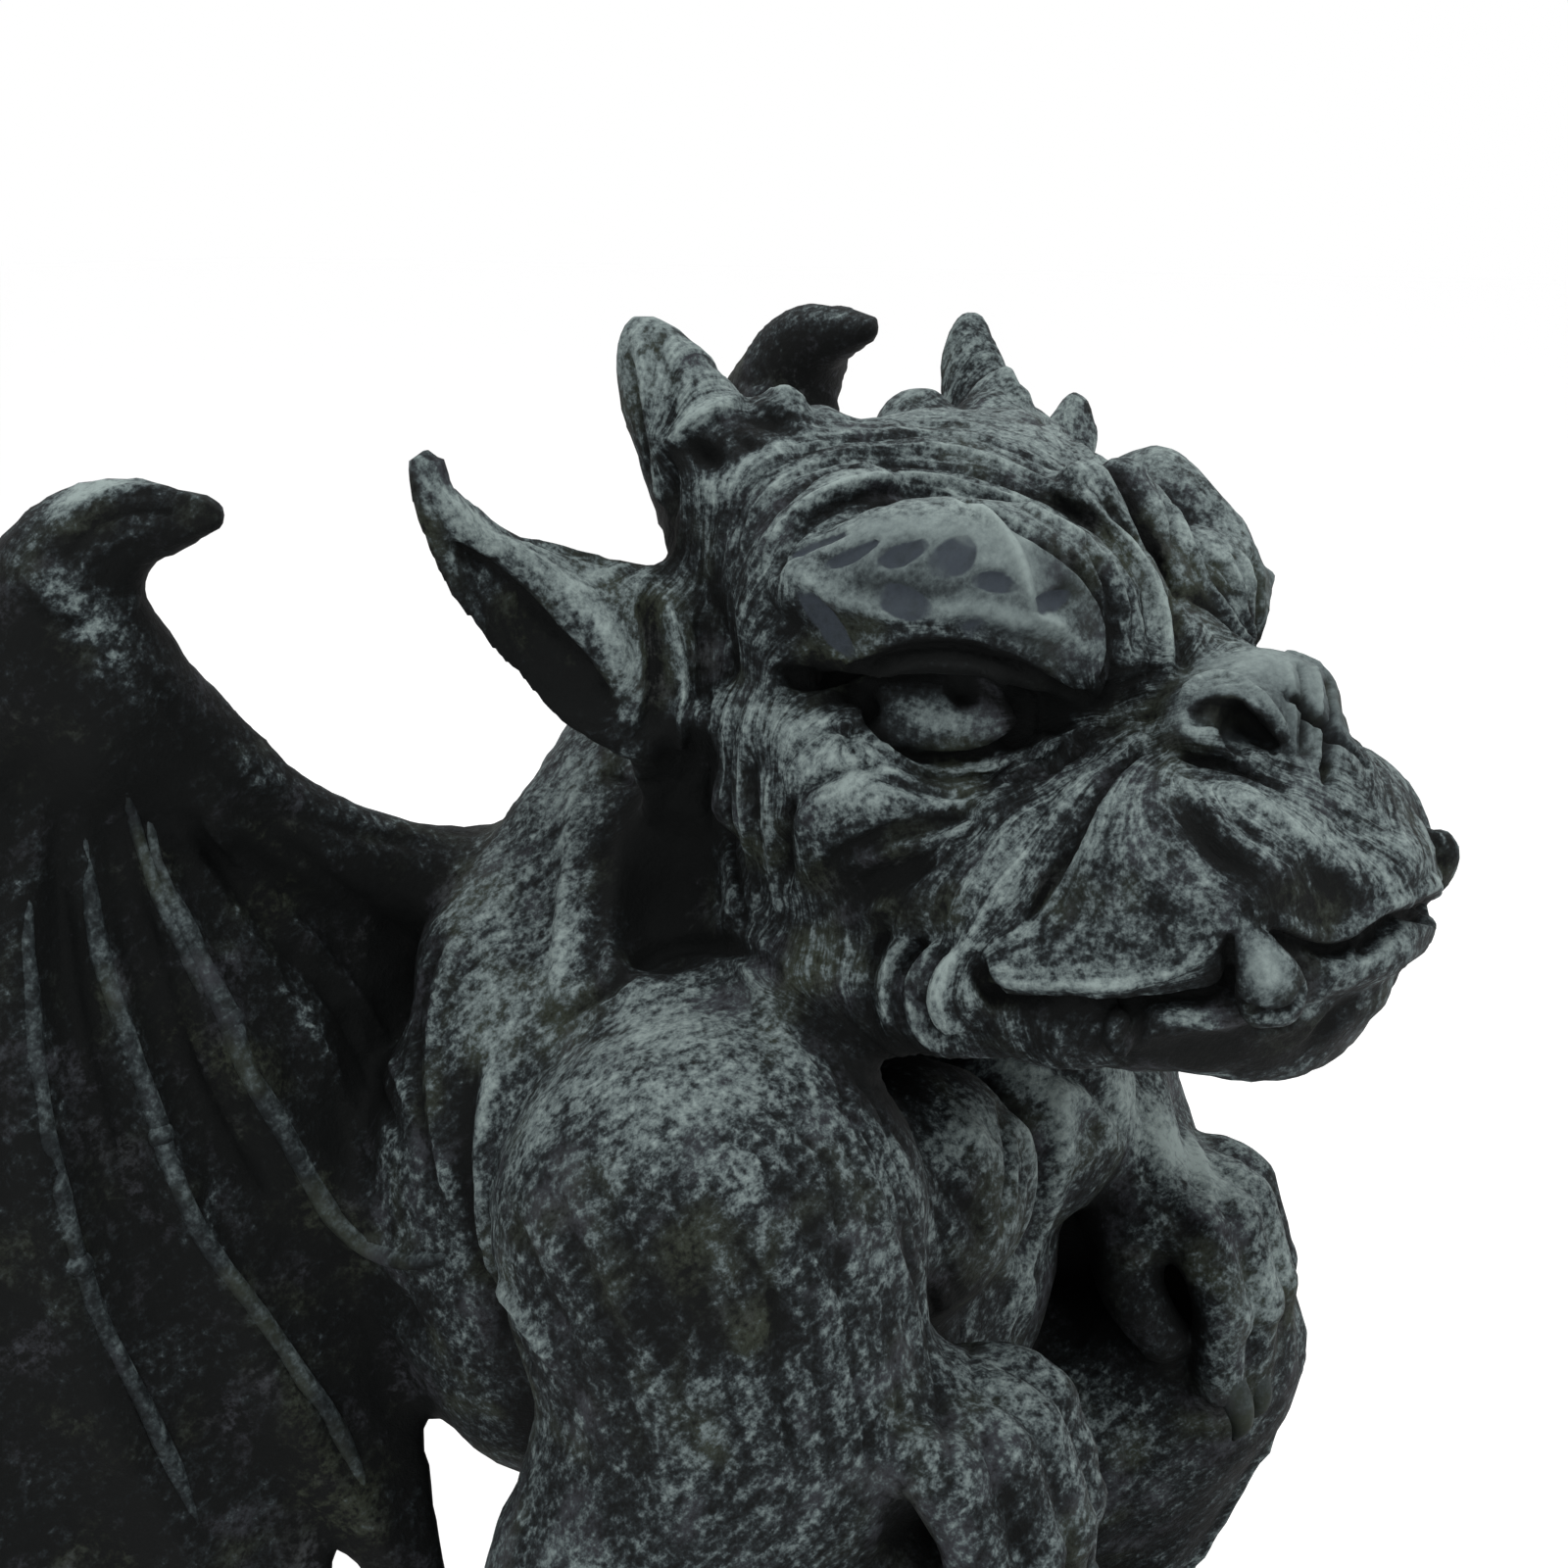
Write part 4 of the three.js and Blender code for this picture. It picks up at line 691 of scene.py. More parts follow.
wingCarving = {
    "underFinger1": (0.4, 2.2, [(16.5, 89), (21.4, 100), (24, 106), (30, 117), (36, 126), (43, 128.8)]),
    "underFinger2": (0.4, 2.2, [(10, 94), (13, 106), (16.4, 116), (21, 127), (29, 138)]),
    "underFinger3": (0.4, 2.2, [(3, 98), (5, 116), (8.4, 130), (12, 139)]),
    "skinFold1": (0.6, 0.9, [(17.6, 84), (25, 95), (32, 106), (38, 118)]),
    "skinFold2": (0.6, 1.0, [(21, 84), (30, 94), (38, 104), (43, 116)]),
    "skinFold3": (-0.7, 1.3, [(19, 83), (27, 94), (35, 104), (40.6, 116)]),
    "skinFold4": (-0.6, 1.2, [(24, 82), (34, 90), (44, 98)]),
    "skinFold5": (-0.7, 1.2, [(12, 84), (16, 98), (20, 110), (26, 122)]),
    "skinFold6": (-0.6, 1.2, [(6, 90), (8, 104), (11.4, 118)]),
    "skinLump": (0.7, 3.6, [(30.6, 101), (33, 106), (33.6, 112)]),
    "skinPit": (-1.4, 3.4, [(39, 131.6), (43, 136)]),
    "clawRidge1": (0.5, 0.8, [(5.6, 54), (8, 51.6), (12, 50), (17, 50.2), (21, 51.6)]),
    "clawGroove": (-0.6, 0.7, [(6.4, 57), (9, 54), (13, 52.2), (18, 52.2)]),
    "clawRidge2": (0.5, 0.8, [(7, 60), (9.6, 56.6), (13, 54.6), (16, 54)]),
    "wristFold1": (-0.6, 1.0, [(2, 60), (5, 63), (9, 64)]),
    "wristFold2": (0.5, 1.2, [(6, 66), (10, 64.6), (14, 61)]),
    "armFold": (-0.5, 1.2, [(16, 70), (20, 76), (26, 81.4), (34, 84.4), (44, 86.4)]),
}
# Finger bones that show through the wing skin: (0, radius), then the path; their knuckles are single points
wingCords = {
    "finger1": (0, 1.0, [(14, 77, .4), (16.5, 89), (19, 95), (21.4, 100), (23.6, 104.6, 1.2), (24.6, 107.4), (26, 110.6),
                          (29.6, 116.4), (33, 122.6), (36, 126), (39.4, 128), (43, 128.8, .8), (46.4, 127.8, .4)]),
    "finger2": (0, 0.9, [(8.6, 84, .4), (10, 96), (13, 106), (16, 114.6, 1.1), (17.4, 119), (20.6, 126), (24.4, 131.6),
                          (30.6, 140), (35, 147), (38.4, 154, .5)]),
    "finger3": (0, 0.85, [(3, 88, .4), (3, 100), (4.4, 114), (7, 125), (8.4, 130, 1.1), (10.4, 135), (13, 140), (17.4, 149),
                           (21, 157, .5)]),
    "finger4": (0, 0.7, [(12.4, 79, .5), (15.6, 90), (19.8, 99), (22.4, 103.6)]),
}
wingKnuckles = {
    "joint1": (0, 1.35, [(23.5, 104.2)]),
    "joint2": (0, 1.25, [(16.3, 115.8)]),
    "joint3": (0, 1.25, [(8, 129)]),
}
# Muscle fibres of the upper arm: down its front edge and across its outer side
fibreCarving = {f"front{i}": (-0.24 - 0.14 * (i % 2), 0.75, [(86 - 2.6 * i, 108 + 1.5 * i), (93.5 - 3 * i, 119), (97 - 3.6 * i, 130),
                                           (99.4 - 4 * i, 139.6), (101 - 4 * i, 150)]) for i in range(6)}
fibreCarving |= {f"outer{i}": (-0.22 - 0.12 * (i % 2), 0.75, [(54 + 4.6 * i, 122 - 0.6 * i), (59 + 4.8 * i, 131), (63 + 5 * i, 139.6),
                                            (66 + 5 * i, 148)]) for i in range(5)}
# Painted light and shade together with the painter's dry brushing: what they add to the brushing level instead of a
# height, then as above. The dark strokes paint shade in the eye corners and lid, the drilled pupil, under the brow
# lobe, in the mouth, under the lip and chin, in the muzzle and cheek hollows, the ear bowl and root, the crown pits,
# the neck hollow, under the shoulder and round the far elbow. The light strokes paint highlights on the tops of the
# brow lobe, nose, eyeball, claw, wrist, chest, shoulder, far arm and far hand, lit from above. The thin strokes along
# ridges follow the real dry brushing
lightShadeAndBrushStrokes = {
    "lobeTop": (0.09, 4.2, [(83, 55.6, .6), (88, 53.6), (96, 53.4), (103, 55.8), (109, 61.5, .7)]),
    "lobeEdge": (0.06, 1.6, [(81, 58.4), (86, 61), (92, 61.8), (100, 62.2), (107, 63.8), (111, 66)]),
    "underLobe": (-0.06, 3.4, [(81, 63), (86, 66.4), (92, 66.8), (98, 66.6), (104, 67.6)]),
    "eyeDark": (-0.3, 2.4, [(88.4, 70.4), (88.6, 72)]),
    "eyeInner": (-0.35, 3.6, [(102.6, 70), (105, 73.4), (108, 72.6)]),
    "noseTop": (0.14, 5.0, [(124, 68.6), (129, 66.6), (133, 69)]),
    "noseRim": (0.1, 1.2, [(121, 73.4), (124, 75.2), (128, 76.6)]),
    "muzzleTop": (0.05, 3.6, [(119, 79), (126, 80.6), (134, 84), (141, 89)]),
    "muzzleFront": (0.0, 4.0, [(139, 78), (144, 84), (146, 90)]),
    "muzzleMiddle": (-0.08, 5.0, [(118, 84), (126, 87), (134, 90)]),
    "skullTop": (-0.05, 8.0, [(86, 46), (98, 44), (108, 46)]),
    "browSlope": (0.05, 3.0, [(88, 64.6), (96, 65), (104, 66)]),
    "muzzleDark": (-0.2, 4.0, [(127, 90.4), (133, 92), (138.6, 92.6)]),
    "muzzleDark2": (-0.14, 2.2, [(120.4, 81.6), (123.6, 86), (127, 88.6)]),
    "muzzleSide": (0.07, 5.0, [(112, 84), (111, 92)]),
    "lipEdge": (0.02, 1.4, [(102, 99.4), (108, 100.6), (115, 100.4), (121, 98.6), (125, 95)]),
    "tusk": (0.18, 2.4, [(127.4, 97), (129.8, 100), (130, 101.6)]),
    "lowLip": (0.08, 1.2, [(119, 103.6), (126, 104.4), (133, 103.8), (138, 99.4), (144, 96)]),
    "chinDark": (-0.16, 4.6, [(102, 105.4), (112, 106), (122, 107.6), (131, 107.6), (137, 104)]),
    "mouthDark": (-0.2, 1.4, [(101, 102.4), (108, 102.8), (116, 102.8), (124, 102)]),
    "cheekBag": (0.1, 4.6, [(79, 74), (84, 79), (91, 81)]),
    "cheekLow": (-0.2, 4.6, [(84, 90.6), (90, 91), (95, 88.6)]),
    "cheekBack": (-0.1, 3.4, [(78, 88), (80, 96), (84, 102)]),
    "hornFront": (0.1, 4.0, [(65, 35), (68, 40), (72, 42)]),
    "earBand": (-0.06, 3.4, [(50, 55.6), (56, 60), (61, 65)]),
    "earBowl": (-0.34, 4.6, [(49.6, 61, .7), (53, 66), (58, 71), (61.6, 75, .8)]),
    "earRoot": (-0.14, 3.0, [(66, 62), (68, 68), (68, 76)]),
    "hornRoot": (-0.08, 3.0, [(70, 50), (70, 56)]),
    "crownPits": (-0.2, 2.4, [(67, 46), (72, 46.4), (79, 42.4)]),
    "neckHollow": (-0.5, 7.0, [(69, 77, .8), (68, 84), (67.6, 92), (69, 98)]),
    "neckBand": (0.03, 2.4, [(58, 84), (57, 92), (57, 100)]),
    "shoulderTop": (0.08, 8.0, [(60, 109), (66, 105), (72, 110)]),
    "underShoulder": (-0.12, 9.0, [(60, 128), (70, 133), (78, 134)]),
    "armEdge": (0.1, 1.6, [(90, 114), (94, 123), (97, 131), (102, 139)]),
    "lat": (-0.12, 7.0, [(44.6, 100), (43, 110), (45, 122)]),
    "chest": (0.1, 5.0, [(97, 111), (102, 116), (104, 124)]),
    "chestTop": (0.16, 5.0, [(98, 109.6), (104, 110), (110, 112)]),
    "eyeball": (0.18, 4.0, [(94, 73), (97, 74)]),
    "pupilDark": (-1.2, 1.9, [(98, 70), (98.4, 70.8)]),
    "lidDark": (-0.35, 2.0, [(86, 69.6), (90, 68), (96, 67.2), (101, 68.2), (104, 70.4)]),
    "clawTop": (0.5, 3.4, [(5, 52.6), (9, 49.6), (14, 48.8), (19.6, 50)]),
    "wristTop": (0.35, 4.0, [(3, 58), (8, 62), (12, 66)]),
    "wingEdge": (0.05, 3.0, [(18, 72), (26, 79), (36, 84), (48, 86)]),
    "wingSkin": (0.0, 6.0, [(31, 100), (34, 106), (34, 114)]),
    "farClawTop": (0.12, 3.4, [(76, 37), (80, 32.6), (86, 31.6)]),
    "farArm": (0.34, 7.0, [(112, 111), (118, 115), (124, 121)]),
    "farHand": (0.16, 4.6, [(128, 119), (130.6, 130), (127, 135)]),
    "farDark": (-0.3, 8.0, [(109, 128), (114, 134)]),
}
# Darker lines along the carved arm fibres: painted shade in their grooves
lightShadeAndBrushStrokes |= {name: (-0.045, 0.9, path) for name, (_, _, path) in fibreCarving.items()}
# Where the casting is smooth: brow lobe, eyeball, tusk, claws
smoothParts = {
    "lobe": (1.0, 5.4, [(84, 57, .8), (90, 57), (98, 57.6), (106, 61), (110, 65, .8)]),
    "eyeball": (1.0, 5.0, [(94, 72.6), (97, 72.8)]),
    "tusk": (1.0, 2.6, [(127.4, 97), (130, 101)]),
    "nostril": (0.8, 2.6, [(124, 72), (128.6, 75)]),
    "nose": (0.9, 6.5, [(123, 70), (128.6, 69), (134, 71.4)]),
    "nosePlate": (0.9, 4.0, [(133, 68), (134.4, 76)]),
}


def foldedHead(at):
    local = (at - sculpt["headSet"]) @ headRows.T
    local[:, 0] = np.abs(local[:, 0])
    return local


def foldedHeadTurn(at, way):
    local = way @ headRows.T
    local[:, 0] *= np.sign(((at - sculpt["headSet"]) @ headRows.T)[:, 0])
    return local


def foldedBody(at):
    return np.column_stack([np.abs(at[:, 0]), at[:, 1:]])


def foldedBodyTurn(at, way):
    return np.column_stack([way[:, 0] * np.sign(at[:, 0]), way[:, 1:]])


def foldedWing(at):
    # The far wing stands higher and further forward; that is taken off before it is folded over
    side, z = at[:, 0] > 0, at[:, 2].copy()
    for _ in range(4):
        w = np.clip((z - 60) / 100, 0, 1) * side
        z = at[:, 2] - wingSet["lift"] * w * w
    return np.column_stack([np.abs(at[:, 0]), at[:, 1] + wingSet["forward"] * w, z])


frames = {"head": (foldedHead, foldedHeadTurn), "body": (foldedBody, foldedBodyTurn),
          "wing": (foldedWing, foldedBodyTurn), "near": (lambda at: at, lambda at, way: way)}


def settled(rows):
    # Rows of x, y, z (and width) in millimetres, dropped on to the clay
    rows = smoothRows([(*r, 1.0)[:4] for r in rows], 8) if len(rows) > 1 else np.array([(*rows[0], 1.0)[:4]], float)
    at = rows[:, :3].copy()
    for _ in range(12):
        at -= slopeOf(clay, at) * sampled(clay, at)[:, None]
    return at, slopeOf(clay, at), rows[:, 3]


def gathered(kind, table):
    fold, turn = frames[kind]
    out = []
    for name, (height, width, path) in table.items():
        at, way, wide = (settled if len(path[0]) > 2 and abs(path[0][2]) > 2 else pinned)(path)
        if not len(at):
            continue
        # Where the path falls from one form to another behind it, the stroke is parted
        leap = np.linalg.norm(np.diff(at, axis=0), axis=1)
        cuts = np.nonzero(leap > max(3 * np.median(leap), 1.2))[0] + 1 if len(leap) else []
        for one in np.split(np.arange(len(at)), cuts):
            if len(one) > 2 or len(at) < 3:
                out.append((kind, name, height, width * wide[one], fold(at[one]), turn(at[one], way[one])))
    return out


# Sides, back and legs, which the photo doesn't show: the same, but with paths in millimetres
backCarving = {
    "spine": (-0.5, 2.6, [(0, 46, 130), (0, 48, 112), (0, 40, 90), (0, 42, 64), (0, 44, 36)]),
    "besideSpine": (0.35, 3.4, [(5, 46, 128), (6, 48, 112), (6, 42, 90), (7, 42, 64), (6, 42, 38)]),
    "bladeEdge": (1.0, 2.4, [(10, 44, 128), (17, 44, 118), (24, 42, 104), (27, 40, 92)]),
    "bladeGroove": (-1.0, 2.0, [(12, 46, 118), (18, 45, 108), (22, 43, 96)]),
    "waist1": (-0.8, 1.6, [(8, 40, 82), (16, 38, 77), (24, 28, 71), (28, 16, 67)]),
    "waist2": (0.4, 1.6, [(10, 42, 76), (17, 38, 71), (25, 28, 65), (29, 16, 61)]),
    "waist3": (-0.6, 1.4, [(12, 42, 69), (18, 38, 65), (25, 28, 60)]),
    "rib1": (-0.8, 1.6, [(12, 40, 100), (22, 34, 94), (28, 22, 88)]),
    "rib2": (-0.8, 1.6, [(12, 38, 92), (21, 32, 86), (27, 20, 81)]),
    "thigh1": (-0.8, 1.6, [(36, 20, 50), (38, 6, 62), (42, -8, 72)]),
    "thigh2": (-0.6, 1.6, [(38, 14, 42), (40, 0, 54), (43, -12, 64)]),
    "shin": (0.9, 1.6, [(33, -30, 66), (35, -24, 50), (34, -14, 34)]),
    "calf": (-0.8, 1.6, [(43, -10, 60), (42, -4, 46), (41, 2, 32)]),
    "ankle": (-0.7, 1.2, [(42, -6, 25), (34, -12, 28), (26, -6, 26)]),
    "belly1": (-0.8, 1.6, [(0, -10, 80), (10, -9, 79), (18, -4, 78)]),
    "belly2": (-0.8, 1.6, [(0, -8, 66), (12, -7, 65), (20, 0, 64)]),
}
backCarving |= {f"vertebra{i}": (1.3, 2.3, [(0, 44, 46 + 8.5 * i)]) for i in range(10)}
strokes = gathered("body", bodyCarving) + gathered("wing", wingCarving) + gathered("body", backCarving)
strokes += gathered("near", septumCarving) + gathered("body", fibreCarving)
for table in (browCarving, eyeCarving, noseCarving, cheekCarving, mouthCarving, earCarving, hornCarving):
    strokes += gathered("head", table)
print("strokes", len(strokes))


def bell(s):
    return np.clip(1 - s * s, 0, 1) ** 2


def pad(s):
    return np.clip((1 - s) / 0.3, 0, 1)


def strokeSum(place, normal, chosen, profile=bell):
    # Height of every chosen stroke at every point; strokes fade at both ends and stay on their own side
    total = np.zeros(len(place))
    local = {k: (fold(place), turn(place, normal)) for k, (fold, turn) in frames.items()}
    for kind, name, height, wide, path, way in chosen:
        at, facing = local[kind]
        low, high = path.min(0) - wide.max(), path.max(0) + wide.max()
        near = np.nonzero(((at > low) & (at < high)).all(1))[0]
        if not len(near):
            continue
        p = at[near]
        best, facingBest, fade = np.full(len(near), 9.0), np.zeros(len(near)), np.ones(len(near))
        run = np.concatenate([[0], np.cumsum(np.linalg.norm(np.diff(path, axis=0), axis=1))])
        for i in range(max(len(path) - 1, 1)):
            a, b = path[i], path[min(i + 1, len(path) - 1)]
            u = b - a
            t = np.clip(((p - a) @ u) / max(u @ u, 1e-9), 0, 1)
            w = wide[i] + (wide[min(i + 1, len(path) - 1)] - wide[i]) * t
            d = np.linalg.norm(p - a - t[:, None] * u, axis=1) / w
            closer = d < best
            best = np.where(closer, d, best)
            facingBest = np.where(closer, facing[near] @ way[i], facingBest)
            along = run[i] + t * np.linalg.norm(u)
            end = np.minimum(along, run[-1] - along) / (1.6 * wide.mean()) + 0.45
            fade = np.where(closer, np.clip(end, 0, 1), fade)
        total[near] += height * profile(best) * fade * np.clip(facingBest * 2.5, 0, 1)
    return total


# Soft unevenness between -1 and 1 from lattice noise; size in millimetres
wrinkles = {"pitch": 1.0, "run": 6.0, "deep": 0.20, "fine": 0.12, "face": 0.85}


def lumps(points, size, seed):
    grid = np.random.default_rng(seed).uniform(-1, 1, (32, 32, 32))
    p = points / size
    cell = np.floor(p).astype(int)
    f = p - cell
    f = f * f * (3 - 2 * f)
    out = 0
    for i in (0, 1):
        for j in (0, 1):
            for k in (0, 1):
                w = ((f[:, 0] if i else 1 - f[:, 0]) * (f[:, 1] if j else 1 - f[:, 1])
                     * (f[:, 2] if k else 1 - f[:, 2]))
                out = out + w * grid[(cell[:, 0] + i) % 32, (cell[:, 1] + j) % 32, (cell[:, 2] + k) % 32]
    return out


# Grain: one number over the surface whose equal values run along the folds, fitted through guiding strokes
headLevels = {"outlineGroove": 0, "ringRidge": 1.2, "ringGroove": 2.2, "outerRidge": 3.4, "outerGroove": 4.6,
              "lowerEdge": -5, "crease": -8, "lowerLid": -15, "underLid": -17, "longFold": 4, "browValley": 5.4,
              "innerValley": 1.5, "mainFold": -27, "besideFold": -24.5, "secondFold": -22, "mainCrease": -30,
              "bagUnder": -18, "hollowRidge": -19, "bagCrease": -15, "topCrease1": -13, "secondBead": -23, "thirdGroove": -20,
              "sideRidge": -7, "tragus": 9, "besideTragus": 7, "helix": 14, "topGroove": 17, "rib": 16,
              "ringArch": 9, "muzzleFold1": -38, "muzzleFold2": -42, "upperLip": -33, "underNose": -36,
              "lowerLip": -40}
bodyLevels = {"flankGroove": -8, "flankFold": -6, "behindShoulder": -2, "shoulderRear": 0, "muscle1": 3.5,
              "muscle2": 7.5, "muscle3": 12, "muscle4": 16.5, "muscle5": 22, "muscle6": 27, "armFront": 31,
              "armRidge": 34, "armLine": 36.5, "neckBand": 4, "neckGroove": 7.5, "chestCord": 48,
              "chestGroove": 44}


def potential(kind, levels):
    spots, values = [], []
    for k, name, height, wide, path, way in strokes:
        if k == kind and name in levels:
            spots.append(path[::6])
            values += [levels[name]] * len(path[::6])
    spots, values = np.concatenate(spots), np.array(values, float)
    n = len(spots)
    solve = np.zeros((n + 4, n + 4))
    solve[:n, :n] = np.linalg.norm(spots[:, None] - spots[None], axis=2) - 0.4 * np.eye(n)
    solve[:n, n:] = np.column_stack([np.ones(n), spots])
    solve[n:, :n] = solve[:n, n:].T
    weights = np.linalg.solve(solve, np.concatenate([values, np.zeros(4)]))

    def value(at):
        out = np.column_stack([np.ones(len(at)), at]) @ weights[n:]
        for s, w in zip(spots, weights[:n]):
            out += w * np.linalg.norm(at - s, axis=1)
        return out
    return value


near = [sampled(f, place) for f in (headField, bodyField, wingField)]
share = np.exp(-np.clip(np.array(near) - np.min(near, axis=0), 0, 12) / 1.2)
share /= share.sum(0)
wingRoot = np.array([55.0, 160.0])
flat = foldedWing(place)
fan = np.arctan2(flat[:, 0] - wingRoot[0], wingRoot[1] - flat[:, 2] + 0.01) * 48
grain = (share[0] * potential("head", headLevels)(foldedHead(place))
         + share[1] * potential("body", bodyLevels)(foldedBody(place)) + share[2] * fan)

# Skin creases follow the grain; the lobe, eyeball and tusk stay smooth
relief = strokeSum(place, normal, strokes)
scales = strokeSum(place, normal, gathered("head", scaleCarving), pad)
smooth = np.clip(strokeSum(place, normal, gathered("head", smoothParts), pad), 0, 1)
across = np.column_stack([grain, np.zeros(len(grain)), np.zeros(len(grain))])
creases = (wrinkles["deep"] * lumps(across / wrinkles["pitch"] + place / wrinkles["run"], 1.0, 11)
           + wrinkles["fine"] * lumps(across / wrinkles["pitch"] * 2.3 + place / wrinkles["run"] * 1.6, 1.0, 12))
creases = creases * (1 - smooth) * (0.35 + wrinkles["face"] * share[0])
rough = (0.15 * lumps(place, 3.1, 4) + 0.09 * lumps(place, 1.3, 5)) * (1 - 0.6 * smooth)
# Openness along the normal: in the resin it darkens the recesses, partly the real dark wash that pools there and partly
# painted shade
openness = np.clip(sum(sampled(clay, place + normal * d) / d for d in (2.5, 5.0, 9.0)) / 3, 0, 1)
# Brushing level by region, which also carries the painted light and shade: the face and shoulder most, wings least, the
# body darker towards the bottom; then the strokes of painted light, shade and dry brushing
low = np.clip((110 - place[:, 2]) / 60, 0, 1)
dry = -0.22 * share[2] - share[1] * (0.03 + 0.05 * low)
dry = dry + strokeSum(place, normal, gathered("near", lightShadeAndBrushStrokes))
keep(fine, "relief", relief + creases * 0.8)
keep(fine, "open", openness)
keep(fine, "scales", np.clip(-scales * 2.4, 0, 1))
keep(fine, "grain", grain)
keep(fine, "smooth", smooth)
keep(fine, "dry", dry)
keep(fine, "folds", share[0] * (1 - smooth))
place = place + normal * (relief + scales + creases + rough)[:, None]
place[:, 2] = np.minimum(place[:, 2], cadBox[1][2] / mm - 0.1)
fine.vertices.foreach_set("co", (place * mm).astype(np.float32).ravel())
made = worked(gargoyle, "DECIMATE", ratio=min(1.0, sculpt["triangles"] / (2 * len(fine.polygons))))
print("figure", len(made.vertices), "points", len(made.polygons), "faces")
# Upward facing: the resin turns it into painted light from above
keep(made, "upward", normalsOf(made)[:, 2])


# Painted resin
def linear(hexColour):
    parts = [int(hexColour[i:i + 2], 16) / 255 for i in (0, 2, 4)]
    return (*[p / 12.92 if p < 0.04045 else ((p + 0.055) / 1.055) ** 2.4 for p in parts], 1)


def addNode(tree, kind, inputs=(), out=0, **settings):
    node = tree.nodes.new(kind)
    for key, value in settings.items():
        setattr(node, key, value)
    for key, value in dict(inputs).items():
        if isinstance(value, bpy.types.NodeSocket):
            tree.links.new(value, node.inputs[key])
        else:
            node.inputs[key].default_value = value
    return node.outputs[out]


class Nodes:
    def __init__(self, name):
        self.material = bpy.data.materials.new(name)
        self.material.use_nodes = True
        self.tree = self.material.node_tree
        self.shader = self.tree.nodes["Principled BSDF"]

    def add(self, kind, inputs=(), out=0, **settings):
        return addNode(self.tree, kind, inputs, out, **settings)

    def attribute(self, name):
        return self.add("ShaderNodeAttribute", attribute_name=name, out="Fac")

    def maths(self, operation, *values, clamp=False):
        return self.add("ShaderNodeMath", dict(enumerate(values)), operation=operation, use_clamp=clamp)

    def total(self, *values):
        out = values[0]
        for value in values[1:]:
            out = self.maths("ADD", out, value)
        return out

    def range(self, value, low, high, toLow=0.0, toHigh=1.0, smooth=True):
        return self.add("ShaderNodeMapRange", {"Value": value, "From Min": low, "From Max": high, "To Min": toLow,
                                               "To Max": toHigh},
                        interpolation_type="SMOOTHSTEP" if smooth else "LINEAR")

    def blend(self, amount, a, b):
        return self.add("ShaderNodeMix", {0: amount, 6: a, 7: b}, out=2, data_type="RGBA")

    def noise(self, scale, detail, where, roughness=0.6, distortion=0.0):
        return self.add("ShaderNodeTexNoise", {"Scale": scale, "Detail": detail, "Roughness": roughness,
                                               "Distortion": distortion, "Vector": where})


paint = {"char": "050707", "wash": "1b2022", "grey": "434c4e", "brush": "7e8a88", "olive": "363b2e",
         "violet": "3f4046", "scale": "2f353c", "brushFrom": 0.20, "brushTo": 0.60,
         "roughness": 0.82, "ior": 1.5, "specular": 0.15}


